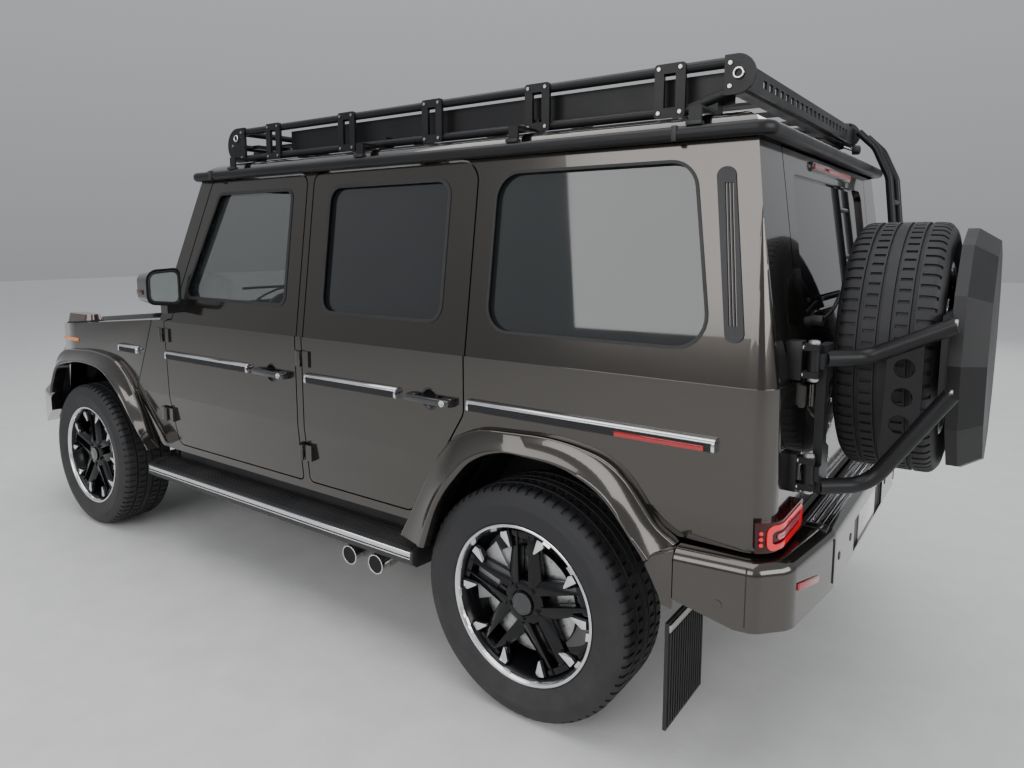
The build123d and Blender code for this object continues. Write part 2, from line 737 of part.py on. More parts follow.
# Roof lid
def roof_form(inset):
    half = roof_half - inset
    top = roof_top_z - inset
    low = roof_seat_z
    with BuildPart() as form:
        with BuildSketch(cross_plane(-2300)):
            with BuildLine():
                Polyline((-half, low), (half, low))
                ThreePointArc((half, low), (half - 24, low + 32 - inset / 2), (half - 110, top - 32))
                ThreePointArc((half - 110, top - 32), (0, top), (-half + 110, top - 32))
                ThreePointArc((-half + 110, top - 32), (-half + 24, low + 32 - inset / 2), (-half, low))
            make_face()
        extrude(amount=3000)
        with BuildSketch(side_plane(1000)):
            with BuildLine():
                Polyline(
                    (-2124 + inset, low), (-2100 + inset, max(low + 1, top - 50)), (-2030 + inset, top - 12), (-1900, top),
                    (100, top + 1), (330, top - 30), (404 - inset, max(low + 2, top - 62)), (422 - inset, low),
                    close=True,
                )
            make_face()
        extrude(amount=2000, mode=Mode.INTERSECT)
    return form.part


with BuildPart() as roof_panel:
    add(roof_form(0))
    add(roof_form(roof_thick), mode=Mode.SUBTRACT)
save(roof_panel.part, "roof_panel")

# Rain gutter, a rail that runs round the roof's edge
with BuildPart() as gutter:
    with BuildSketch(deck_plane(gutter_low_z)) as ring:
        with Locations(((gutter_front_x + gutter_rear_x) / 2, 0)):
            RectangleRounded(gutter_front_x - gutter_rear_x, 2 * gutter_half, 60)
            Rectangle(gutter_front_x - gutter_rear_x - 2 * (gutter_half - roof_half - roof_gap),
                      2 * (roof_half + roof_gap), mode=Mode.SUBTRACT)
    extrude(amount=gutter_high_z - gutter_low_z)
    for end in (0, -1):
        fillet(gutter.faces().sort_by(Axis.Z)[end].outer_wire().edges(), radius=gutter_round)
save(gutter.part, "roof_gutter")

# Roof rack: rails, slotted uprights, round end plates, side sheets, cross bars, slats and feet
upright_x = (4, -462, -914, -1370, -1829)
upright_width = 95
upright_slot = (36, 96)
plate_in = 8               # the plates' inner face, out from the rails' middle line
plate_out = 20
plate_over = 2             # the plates reach this far past the rails
end_length = 126
rear_round = 54
rear_length = 86
rack_mid_z = (rack_high_z + rack_low_z) / 2
plate_half = (rack_high_z - rack_low_z) / 2 + rack_tube + plate_over
sheet_in = 34              # the side sheet's inner face, in from the rails' middle line
foot_stations = (150, -650, -1350, -1950)
foot_half = 18
foot_low_z = roof_top_z - 26
foot_thick = 8
deck_z = 1985


# A plate on the outside of the rails, rounded towards one end
def rack_plate(x_square, x_round, z_low, z_high):
    radius = (z_high - z_low) / 2 - 1
    with BuildPart() as plate:
        with BuildSketch(side_plane(rack_y + plate_out)):
            with BuildLine():
                FilletPolyline((x_square, z_low), (x_round, z_low), (x_round, z_high), (x_square, z_high),
                               radius=(0, radius, radius, 0), close=True)
            make_face()
        extrude(amount=plate_out - plate_in)
    return plate.part


with BuildPart() as rack_side:
    add(tube(((rack_front_x - 60, rack_y, rack_low_z), (rack_rear_x + 205, rack_y, rack_low_z),
              (rack_rear_x + 60, rack_y, rack_low_z + 42)), rack_tube, 60))
    add(bar((rack_front_x - 60, rack_y, rack_high_z), (rack_rear_x + 40, rack_y, rack_high_z), rack_tube))
    add(rack_plate(rack_front_x - end_length, rack_front_x, rack_mid_z - plate_half, rack_mid_z + plate_half))
    add(rack_plate(rack_rear_x + rear_length, rack_rear_x, rack_mid_z + plate_half - 2 * rear_round,
                   rack_mid_z + plate_half))
    for x in upright_x:
        with BuildSketch(side_plane(rack_y + plate_out)):
            with Locations((x, rack_mid_z)):
                RectangleRounded(upright_width, 2 * plate_half, 10)
                Rectangle(*upright_slot, mode=Mode.SUBTRACT)
        extrude(amount=plate_out - plate_in)
    add(block(rack_rear_x + 70, -60, rack_y - sheet_in, rack_y - sheet_in + 4, rack_low_z + 8, rack_high_z - 18))
    for x in foot_stations:
        with BuildSketch(cross_plane(x - foot_half)):
            with BuildLine():
                Polyline(
                    (rack_y - sheet_in - 4, rack_low_z + 24), (rack_y - sheet_in - 4, foot_low_z),
                    (gutter_half - 24, foot_low_z), (gutter_half - 24, gutter_high_z),
                    (gutter_half - 24 + foot_thick, gutter_high_z), (gutter_half - 24 + foot_thick, foot_low_z + foot_thick),
                    (rack_y + 4, foot_low_z + foot_thick), (rack_y + 4, rack_low_z + 24), close=True,
                )
            make_face()
        extrude(amount=2 * foot_half)
with BuildPart() as roof_rack:
    add(both_sides(rack_side.part))
    for x in (200, -100, -500, -900, -1300, -1700, -2000):
        add(block(x - 20, x + 20, -rack_y + sheet_in - 2, rack_y - sheet_in + 2, deck_z, deck_z + 16))
    for y in (-560, -340, -120, 120, 340, 560):
        add(block(rack_rear_x + 50, rack_front_x - 110, y - 35, y + 35, deck_z + 14, deck_z + 24))
    for z in (deck_z + 8, rack_high_z):
        add(bar((rack_front_x - 68, -rack_y - plate_in - 4, z), (rack_front_x - 68, rack_y + plate_in + 4, z),
                rack_tube - 1))
    # perforated panel across the rear
    with BuildSketch(cross_plane(rack_rear_x + 24)):
        with Locations((0, 2015)):
            Rectangle(2 * (rack_y + plate_in + 4), 66)
            with GridLocations(60, 1, 20, 1):
                Rectangle(34, 22, mode=Mode.SUBTRACT)
    extrude(amount=8)
save(roof_rack.part, "roof_rack")

# Tailgate with its window and hinge halves
gate_window = ((-535, 1350), (535, 1350), (522, 1765), (-522, 1765))


def gate_block(inset):
    return block(beyond_tail, tail_x + 215, -gate_half + inset, gate_half - inset, gate_low_z + inset, gate_high_z - inset)


with BuildPart() as gate_inner:
    add(inner_shell)
    add(gate_block(seal_step), mode=Mode.INTERSECT)
with BuildPart() as tailgate:
    add(skin_shell)
    add(gate_block(0), mode=Mode.INTERSECT)
    add(gate_inner.part)
    add(cross_prism(gate_window, beyond_tail, tail_x + 215, 45), mode=Mode.SUBTRACT)
    add(gate_hinge(False))
save(tailgate.part, "tailgate")
with BuildPart() as gate_glass:
    add(glass_shell)
    with BuildSketch(cross_plane(beyond_tail)):
        with BuildLine():
            FilletPolyline(*gate_window, radius=45, close=True)
        make_face()
        offset(amount=-glass_gap)
    extrude(amount=400, mode=Mode.INTERSECT)
save(gate_glass.part, "tailgate_glass")


# Wheels: rim, brake disc and tyre turned about their own axis, outer face to +Y
def rim_part(spokes=5):
    half = rim_width / 2
    with BuildPart() as rim:
        with BuildSketch(Plane.XY):
            with BuildLine():
                Polyline(
                    (lip_radius, half), (bead_radius, half - 14), (bead_radius, half - 40), (238, half - 60),
                    (238, -half + 34), (bead_radius, -half + 14), (lip_radius, -half), (lip_radius - 9, -half),
                    (246, -half + 18), (229, -half + 40), (229, half - 66), (246, half - 34), (258, half - 2),
                    close=True,
                )
            make_face()
        revolve(axis=Axis.Y)
        with BuildSketch(Plane.XY):
            with BuildLine():
                Polyline((0, 60), (52, 60), (78, 92), (60, 100), (0, 100), close=True)
            make_face()
        revolve(axis=Axis.Y)
        with BuildSketch(Plane.XZ.offset(-78)):
            with PolarLocations(0, spokes, start_angle=90):
                Polygon((48, 3), (236, 28), (236, 64), (66, 38), align=None)
                Polygon((48, -3), (66, -38), (236, -64), (236, -28), align=None)
                Polygon((220, -64), (236, -64), (241, 0), (236, 64), (220, 64), align=None)
        extrude(amount=-26)
    return rim.part


def tyre_part():
    half = tyre_width / 2
    tread = tread_width / 2
    bead = rim_width / 2 - 16
    with BuildPart() as tyre:
        with BuildSketch(Plane.XY):
            with BuildLine():
                Polyline(
                    (bead_radius + rim_gap, bead), (lip_radius + 4, half - 16), (320, half), (360, half - 6),
                    (axle_z - 6, tread + 4), (axle_z, tread - 10), (axle_z, -tread + 10), (axle_z - 6, -tread - 4),
                    (360, -half + 6), (320, -half), (lip_radius + 4, -half + 16), (bead_radius + rim_gap, -bead),
                    close=True,
                )
            make_face()
        revolve(axis=Axis.Y)
    return tyre.part


rim_shape = rim_part()
tyre_shape = tyre_part()
with BuildPart() as disc_shape:
    with BuildSketch(Plane.XZ.offset(-disc_in)):
        Circle(disc_radius)
    extrude(amount=-disc_width)
with BuildPart() as wheel_rim_shape:
    add(rim_shape)
    add(disc_shape.part)

wheel_places = (
    ("front_left", front_axle_x, hub_y, 0),
    ("front_right", front_axle_x, -hub_y, 180),
    ("rear_left", rear_axle_x, hub_y, 0),
    ("rear_right", rear_axle_x, -hub_y, 180),
)
for name, x, y, turn in wheel_places:
    place = Location((mid_x + x, y, axle_z), (0, 0, turn))
    save(wheel_rim_shape.part.moved(place), "rim_" + name)
    save(tyre_shape.moved(place), "tyre_" + name)

# Spare wheel, its face towards the tailgate
spare_place = Location((mid_x + spare_x, spare_y, spare_z), (0, 0, -90))
save(rim_shape.moved(spare_place), "spare_rim")
save(tyre_shape.moved(spare_place), "spare_tyre")

# Cover on the outside of the spare
with BuildPart() as cover:
    with BuildSketch(cross_plane(carrier_plate_x)):
        with Locations((spare_y, spare_z)):
            RegularPolygon(cover_radius, 12)
    extrude(amount=-30)
    extrude(cover.faces().sort_by(Axis.X)[0], amount=cover_depth - 30, taper=32)
save(cover.part, "spare_cover")

# Swing-away carrier: post, two tubes, gusset and the wheel plate
axis_x, axis_y = carrier_axis
post_depth = 28
post_reach = 105           # the post's inner edge, in from the hinge axis
post_cut_y = axis_y - 69
with BuildPart() as carrier:
    for z in (1249, 939):
        with BuildSketch(Plane(origin=(mid_x + axis_x, axis_y, z - carrier_knuckle))):
            Circle(16)
        extrude(amount=2 * carrier_knuckle)
    add(block(axis_x - post_depth, axis_x - 4, axis_y - post_reach, axis_y - 25, 880, 1290))
    post_cut = ((post_cut_y - 76, 975), (post_cut_y, 1015), (post_cut_y, 1180), (post_cut_y - 76, 1215))
    add(cross_prism(post_cut, axis_x - post_depth - 10, axis_x + 12), mode=Mode.SUBTRACT)
    add(block(axis_x - post_depth, axis_x, axis_y - post_reach, axis_y, 1228, 1270))
    add(block(axis_x - post_depth, axis_x, axis_y - post_reach, axis_y, 918, 960))
    add(tube(((axis_x - 18, axis_y - 45, 1251), (-2370, 606, 1251), (-2572, 606, 1352)), carrier_tube, 70))
    add(tube(((axis_x - 18, axis_y - 45, 893), (-2390, 606, 893), (-2572, 606, 1171)), carrier_tube, 90))
    gusset = ((-2412, 930), (-2418, 1262), (-2505, 1305), (-2505, 1080))
    add(side_prism(gusset, 600, 608))
    with BuildSketch(side_plane(615)):
        with Locations(*gusset_holes):
            Circle(26)
    extrude(amount=20, mode=Mode.SUBTRACT)
    add(block(carrier_plate_x, carrier_plate_x + 12, 40, 612, 1150, 1375))
    with BuildSketch(cross_plane(carrier_plate_x)):
        with Locations((spare_y, spare_z)):
            Circle(85)
    extrude(amount=spare_x + 60 - rim_gap - carrier_plate_x)
save(carrier.part, "spare_carrier")
with BuildPart() as carrier_mount:
    for z in (1249, 939):
        for low, high in ((z - 46, z - carrier_knuckle - pin_gap), (z + carrier_knuckle + pin_gap, z + 46)):
            add(block(axis_x - 16, axis_x + 112, axis_y - 16, axis_y + 16, low, high))
    add(outer_form, mode=Mode.SUBTRACT)
save(carrier_mount.part, "carrier_brackets")

# Rear ladder on the right corner
ladder_route = ((-2085, 2022), (-2152, 1955), (-2210, 1830), (-2262, 1400), (-2262, 800))
with BuildPart() as ladder:
    for y in (-650, -850):
        add(tube([(x, y, z) for x, z in ladder_route], 15, 85))
    for x, z in ((-2262, 860), (-2262, 1090), (-2262, 1320), (-2247, 1525), (-2222, 1730)):
        add(bar((x, -650, z), (x, -850, z), 11))
    add(block(-2255, tail_x, -860, -640, 1000, 1012))
save(ladder.part, "rear_ladder")

# Ladder frame under the floor
# station, lowest and highest level of each cross member
cross_members = (
    (2040, 485, 575), (1100, 470, 510), (200, 440, 470), (-400, 535, 575), (-1000, 500, 575),
    (-1800, 485, 575), (-2110, 485, 575),
)
with BuildPart() as frame:
    for side in (1, -1):
        y_range = sorted((side * (rail_y - rail_width / 2), side * (rail_y + rail_width / 2)))
        add(block(rail_rear_x, rail_front_x, *y_range, rail_low_z, rail_high_z))
    for x, z_low, z_high in cross_members:
        add(block(x - 35, x + 35, -rail_y, rail_y, z_low, z_high))
save(frame.part, "ladder_frame")

# Running boards on brackets from the frame
board_outer_y = body_half + 30
board_inner_y = body_half - 150
board_section = (
    (board_outer_y, 455), (board_outer_y + 2, 410), (board_outer_y - 20, 390), (board_inner_y + 20, 382),
    (board_inner_y, 400), (board_inner_y, 470), (body_half - 75, 478),
)
with BuildPart() as board:
    add(cross_prism(board_section, board_rear_x, board_front_x))
    add(block(board_rear_x + 5, 735, board_inner_y + 20, body_half - 92, 430, 545))
    for x in (600, -100, -700):
        add(block(x - 30, x + 30, rail_y + rail_width / 2, board_inner_y + 35, 455, 520))
save(both_sides(board.part), "running_boards")

# Beam axles with their links to the frame
with BuildPart() as rear_axle:
    add(bar((rear_axle_x, -680, axle_z), (rear_axle_x, 680, axle_z), beam_radius))
    stub_y = hub_y + disc_in - rim_gap
    add(bar((rear_axle_x, -stub_y, axle_z), (rear_axle_x, stub_y, axle_z), 40))
    with BuildSketch(Plane.XZ):
        with Locations((mid_x + rear_axle_x, axle_z)):
            Circle(120)
    extrude(amount=90, both=True)
    for side in (1, -1):
        add(block(rear_axle_x - 30, rear_axle_x + 640, *sorted((side * 470, side * 520)), 360, 410))
        add(block(rear_axle_x + 600, rear_axle_x + 640, *sorted((side * 430, side * 520)), 360, 560))
        add(bar((rear_axle_x - 20, side * 540, axle_z), (rear_axle_x - 20, side * 540, rail_high_z - 0.3), 30))
save(rear_axle.part, "rear_axle")
with BuildPart() as front_axle:
    add(bar((front_axle_x, -610, axle_z), (front_axle_x, 610, axle_z), beam_radius))
    with BuildSketch(Plane.XZ.offset(-diff_y)):
        with Locations((mid_x + front_axle_x, axle_z)):
            Circle(105)
    extrude(amount=80, both=True)
    for side in (1, -1):
        add(block(front_axle_x - 640, front_axle_x + 20, *sorted((side * 370, side * 410)), 360, 410))
        add(block(front_axle_x - 640, front_axle_x - 600, *sorted((side * 370, side * 410)), 400, rail_low_z))
        add(block(front_axle_x - 25, front_axle_x + 25, *sorted((side * 600, side * kingpin_y)), axle_z + fork_half,
                  axle_z + fork_half + fork_thick))
        add(block(front_axle_x - 25, front_axle_x + 25, *sorted((side * 600, side * kingpin_y)), axle_z - fork_half - fork_thick,
                  axle_z - fork_half))
        add(block(front_axle_x - 25, front_axle_x + 25, *sorted((side * 600, side * 622)),
                  axle_z - fork_half - fork_thick, axle_z + fork_half + fork_thick))
        for z in (axle_z + fork_half, axle_z - fork_half - fork_thick):
            with BuildSketch(Plane(origin=(mid_x + front_axle_x, side * kingpin_y, z))):
                Circle(25)
            extrude(amount=fork_thick)
save(front_axle.part, "front_axle")

# Steering knuckles with their arms, and the tie rod between the arms
with BuildPart() as knuckle:
    with BuildSketch(Plane(origin=(mid_x + front_axle_x, kingpin_y, axle_z - fork_half + pin_gap))):
        Circle(28)
    extrude(amount=2 * (fork_half - pin_gap))
    add(bar((front_axle_x, kingpin_y, axle_z), (front_axle_x, hub_y + disc_in - rim_gap, axle_z), 40))
    add(block(front_axle_x - steer_arm - 20, front_axle_x, kingpin_y - 20, kingpin_y + 20, axle_z - arm_low, axle_z - 6))
save(knuckle.part, "knuckle_left")
save(right_copy(knuckle.part), "knuckle_right")
with BuildPart() as tie_rod:
    rod_x = front_axle_x - steer_arm
    add(bar((rod_x, -kingpin_y, axle_z - 52), (rod_x, kingpin_y, axle_z - 52), 14))
    for side in (1, -1):
        with BuildSketch(Plane(origin=(mid_x + rod_x, side * kingpin_y, axle_z - 66))):
            Circle(18)
        extrude(amount=66 - arm_low - pin_gap)
save(tie_rod.part, "tie_rod")

# Engine as one plain block, held between the rails
with BuildPart() as engine:
    add(block(1000, 1600, -290, 290, 540, 960))
    add(block(1180, 1240, -rail_y + rail_width / 2, rail_y - rail_width / 2, 545, 585))
save(engine.part, "engine_block")

# Gearbox and shafts under the floor
with BuildPart() as driveline:
    add(bar((1000, 0, 620), (290, 0, 620), 110))
    add(block(-100, 300, -208, 150, rail_low_z, 640))
    add(bar((-100, 0, 510), (rear_axle_x + 122, 0, axle_z), 30))
    add(bar((300, diff_y, 500), (front_axle_x - 108, diff_y, axle_z), 28))
save(driveline.part, "driveline")

# Exhaust: a silencer and two pairs of side outlets
with BuildPart() as exhaust_side:
    add(block(-792, 100, 450, 640, 330, 440))
    for x in (-600, 40):
        add(block(x - 10, x + 10, 500, 540, 430, rail_high_z))
    for x in (-608, -753):
        add(bar((x, 560, 352), (x, body_half - 5, 336), 36))
save(both_sides(exhaust_side.part), "exhaust")

# Seats, dashboard and steering wheel
seat_rows = ((-20, (-500, 500), 500), (-780, (-390, 0, 390), 380))
with BuildPart() as seats:
    for x, places, width in seat_rows:
        for y in places:
            add(block(x - 250, x + 250, y - width / 2, y + width / 2, rail_high_z + floor_thick, 900))
            add(block(x - 330, x - 210, y - width / 2, y + width / 2, 900, 1400))
            add(block(x - 310, x - 230, y - 130, y + 130, 1400, 1580))
save(seats.part, "seats")
with BuildPart() as dashboard:
    add(block(430, 650, -780, 780, 960, 1180))
    with BuildSketch(Plane(origin=(mid_x + 330, 400, 1130), z_dir=(-1, 0, 0.45))):
        Circle(190)
        Circle(160, mode=Mode.SUBTRACT)
        Rectangle(340, 40)
    extrude(amount=28)
    add(bar((330, 400, 1130), (440, 400, 1080), 30))
save(dashboard.part, "dashboard")

# Mud flaps behind the rear wheels, hung from the flares
flap_x = rear_axle_x - 519.3
flap_high_z = 504.7
with BuildPart() as flap:
    add(block(flap_x, flap_x + 10, body_half - 232, body_half + 43, 180, flap_high_z))
save(both_sides(flap.part), "mud_flaps")
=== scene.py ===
from math import atan, atan2, cos, degrees, hypot, pi, radians, sin, tan

import bmesh
import bpy
from mathutils import Matrix, Vector


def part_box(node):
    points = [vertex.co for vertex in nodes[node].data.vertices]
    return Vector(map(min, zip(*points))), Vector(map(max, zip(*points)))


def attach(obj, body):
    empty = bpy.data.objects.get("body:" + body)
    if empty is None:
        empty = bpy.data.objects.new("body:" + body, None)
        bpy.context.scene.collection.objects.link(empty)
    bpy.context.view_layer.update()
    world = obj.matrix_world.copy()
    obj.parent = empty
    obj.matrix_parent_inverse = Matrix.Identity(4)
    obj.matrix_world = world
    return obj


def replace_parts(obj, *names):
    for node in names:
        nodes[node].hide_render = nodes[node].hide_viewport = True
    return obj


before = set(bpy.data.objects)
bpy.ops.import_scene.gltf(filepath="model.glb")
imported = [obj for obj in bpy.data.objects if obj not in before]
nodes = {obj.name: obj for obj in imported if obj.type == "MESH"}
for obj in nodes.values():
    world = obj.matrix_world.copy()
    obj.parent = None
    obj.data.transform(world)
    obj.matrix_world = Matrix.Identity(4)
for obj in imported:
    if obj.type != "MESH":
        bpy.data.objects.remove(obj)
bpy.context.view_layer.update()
print("frame loaded,", len(nodes), "nodes")

# The car's lines are given in millimetres from the wheelbase middle, the frame's origin lies ahead of it
midX = 158
fore, outward, up = Vector((1, 0, 0)), Vector((0, 1, 0)), Vector((0, 0, 1))


def mm(x, y, z):
    return Vector(((midX + x) / 1000, y / 1000, z / 1000))


bodyLines = {
    "halfWidth": 920, "tuckZ": 822, "beltZ": 1187, "ledge": 8, "tailX": -2215,
    "tuckSlope": tan(radians(5.2)), "leanSlope": tan(radians(8)),
    "bonnetSlope": 0.0857, "bonnetX": 763,
}


def inset(z):
    # how far the skin stands in from its widest line at a height
    if z < bodyLines["tuckZ"]:
        return (bodyLines["tuckZ"] - z) * bodyLines["tuckSlope"]
    if z <= bodyLines["beltZ"]:
        return 0
    return bodyLines["ledge"] + (z - bodyLines["beltZ"]) * bodyLines["leanSlope"]


def skinY(z):
    return bodyLines["halfWidth"] - inset(z)


def tailX(z):
    return bodyLines["tailX"] + inset(z)


def bonnetZ(x):
    return bodyLines["beltZ"] - bodyLines["bonnetSlope"] * (x - bodyLines["bonnetX"])


# ---- shader tools, and the node groups that the materials share
def wire(tree, socket, value):
    # a socket gets a link or a plain value
    if isinstance(value, bpy.types.NodeSocket):
        tree.links.new(value, socket)
    else:
        socket.default_value = value


def addNode(tree, kind, **values):
    node = tree.nodes.new("ShaderNode" + kind)
    for label, value in values.items():
        wire(tree, node.inputs[label.replace("_", " ")], value)
    return node


def objectPlace(tree):
    return addNode(tree, "TexCoord").outputs["Object"]


def ramp(tree, value, low, high, toLow=0.0, toHigh=1.0):
    node = addNode(tree, "MapRange", Value=value, From_Min=low, From_Max=high, To_Min=toLow, To_Max=toHigh)
    return node.outputs["Result"]


def maths(tree, operation, a, b):
    node = addNode(tree, "Math")
    node.operation = operation
    wire(tree, node.inputs[0], a)
    wire(tree, node.inputs[1], b)
    return node.outputs[0]


def mixColour(tree, factor, a, b):
    mix = addNode(tree, "Mix")
    mix.data_type = "RGBA"
    tree.links.new(factor, mix.inputs["Factor"])
    sockets = [socket for socket in mix.inputs if socket.type == "RGBA"]
    for socket, colour in zip(sockets, (a, b)):
        wire(tree, socket, (*colour, 1) if isinstance(colour, tuple) else colour)
    return [socket for socket in mix.outputs if socket.type == "RGBA"][0]


def newGroup(name, given, *results):
    group = bpy.data.node_groups.new(name, "ShaderNodeTree")
    for label, value in given.items():
        group.interface.new_socket(name=label, in_out="INPUT", socket_type="NodeSocketFloat").default_value = value
    for label in results:
        group.interface.new_socket(name=label, in_out="OUTPUT", socket_type="NodeSocketFloat")
    return group, group.nodes.new("NodeGroupInput").outputs, group.nodes.new("NodeGroupOutput").inputs


def placeGroup(tree, group, **values):
    node = tree.nodes.new("ShaderNodeGroup")
    node.node_tree = group
    for label, value in values.items():
        node.inputs[label].default_value = value
    return node.outputs


# uneven gloss: a slow smear pattern between two roughness values
unevenGloss, given, result = newGroup("unevenGloss", {"Scale": 6.0, "Low": 0.2, "High": 0.3}, "Roughness", "Mask")
place = objectPlace(unevenGloss)
noise = addNode(unevenGloss, "TexNoise", Vector=place, Scale=given["Scale"], Detail=5, Roughness=0.6)
mask = ramp(unevenGloss, noise.outputs["Fac"], 0.35, 0.68)
wire(unevenGloss, result["Mask"], mask)
wire(unevenGloss, result["Roughness"], ramp(unevenGloss, mask, 0.0, 1.0, given["Low"], given["High"]))

# road dust that gathers low on the car
roadDust, given, result = newGroup("roadDust", {"Top": 0.6, "Amount": 0.3}, "Mask")
place = objectPlace(roadDust)
height = addNode(roadDust, "SeparateXYZ", Vector=place).outputs["Z"]
noise = addNode(roadDust, "TexNoise", Vector=place, Scale=14.0, Detail=8, Roughness=0.65)
patches = ramp(roadDust, noise.outputs["Fac"], 0.3, 0.75)
low = maths(roadDust, "MULTIPLY", ramp(roadDust, height, 0.0, given["Top"], 1.0, 0.0), patches)
wire(roadDust, result["Mask"], maths(roadDust, "MULTIPLY", low, given["Amount"]))

# fine grain of moulded, cast or coated surfaces, as a height
fineGrain, given, result = newGroup("fineGrain", {"Scale": 400.0}, "Height")
place = objectPlace(fineGrain)
cells = addNode(fineGrain, "TexVoronoi", Vector=place, Scale=given["Scale"])
noise = addNode(fineGrain, "TexNoise", Vector=place, Scale=given["Scale"], Detail=3, Roughness=0.5)
wire(fineGrain, result["Height"], maths(fineGrain, "ADD", cells.outputs["Distance"], noise.outputs["Fac"]))


# ---- materials: each one is a Principled surface fed by the groups
dustColour = (0.22, 0.2, 0.17)


def principled(name, **fixed):
    material = bpy.data.materials.new(name)
    material.use_nodes = True
    sockets = material.node_tree.nodes["Principled BSDF"].inputs
    for label, value in fixed.items():
        sockets[label.replace("_", " ")].default_value = value
    return material, material.node_tree, sockets


def surface(name, colour, smooth, rough, metallic=0.0, smearScale=6.0, coat=0.0, coatRough=0.03,
            grain=None, dust=None, tone=0.12, specular=0.5, **fixed):
    # grain: scale, strength, distance; dust: height it reaches, amount; tone: how far the colour strays
    material, tree, sockets = principled(name, Metallic=metallic, Coat_Weight=coat, Coat_Roughness=coatRough,
                                         Specular_IOR_Level=specular, **fixed)
    smear = placeGroup(tree, unevenGloss, Scale=smearScale, Low=smooth, High=rough)
    wire(tree, sockets["Roughness"], smear["Roughness"])
    darker, lighter = (tuple(min(1, c * share) for c in colour) for share in (1 - tone, 1 + tone))
    base = mixColour(tree, smear["Mask"], darker, lighter)
    if dust:
        base = mixColour(tree, placeGroup(tree, roadDust, Top=dust[0], Amount=dust[1])["Mask"], base, dustColour)
    wire(tree, sockets["Base Color"], base)
    if grain:
        height = placeGroup(tree, fineGrain, Scale=grain[0])["Height"]
        bump = addNode(tree, "Bump", Strength=grain[1], Distance=grain[2], Height=height)
        wire(tree, sockets["Normal"], bump.outputs["Normal"])
    return material


def glassSurface(name, colour, alpha, frontAlpha=None):
    material, tree, sockets = principled(name, Metallic=0.0, IOR=1.5, Transmission_Weight=0.0,
                                         Alpha=alpha, Coat_Weight=1.0)
    smear = placeGroup(tree, unevenGloss, Scale=3.0, Low=0.01, High=0.04)
    wire(tree, sockets["Roughness"], smear["Roughness"])
    wire(tree, sockets["Base Color"], mixColour(tree, smear["Mask"], colour, tuple(c * 1.15 for c in colour)))
    if frontAlpha:
        # the windscreen is clear, the panes behind the doors are tinted
        x = addNode(tree, "SeparateXYZ", Vector=objectPlace(tree)).outputs["X"]
        wire(tree, sockets["Alpha"], ramp(tree, x, 0.0, 0.3, alpha, frontAlpha))
    return material


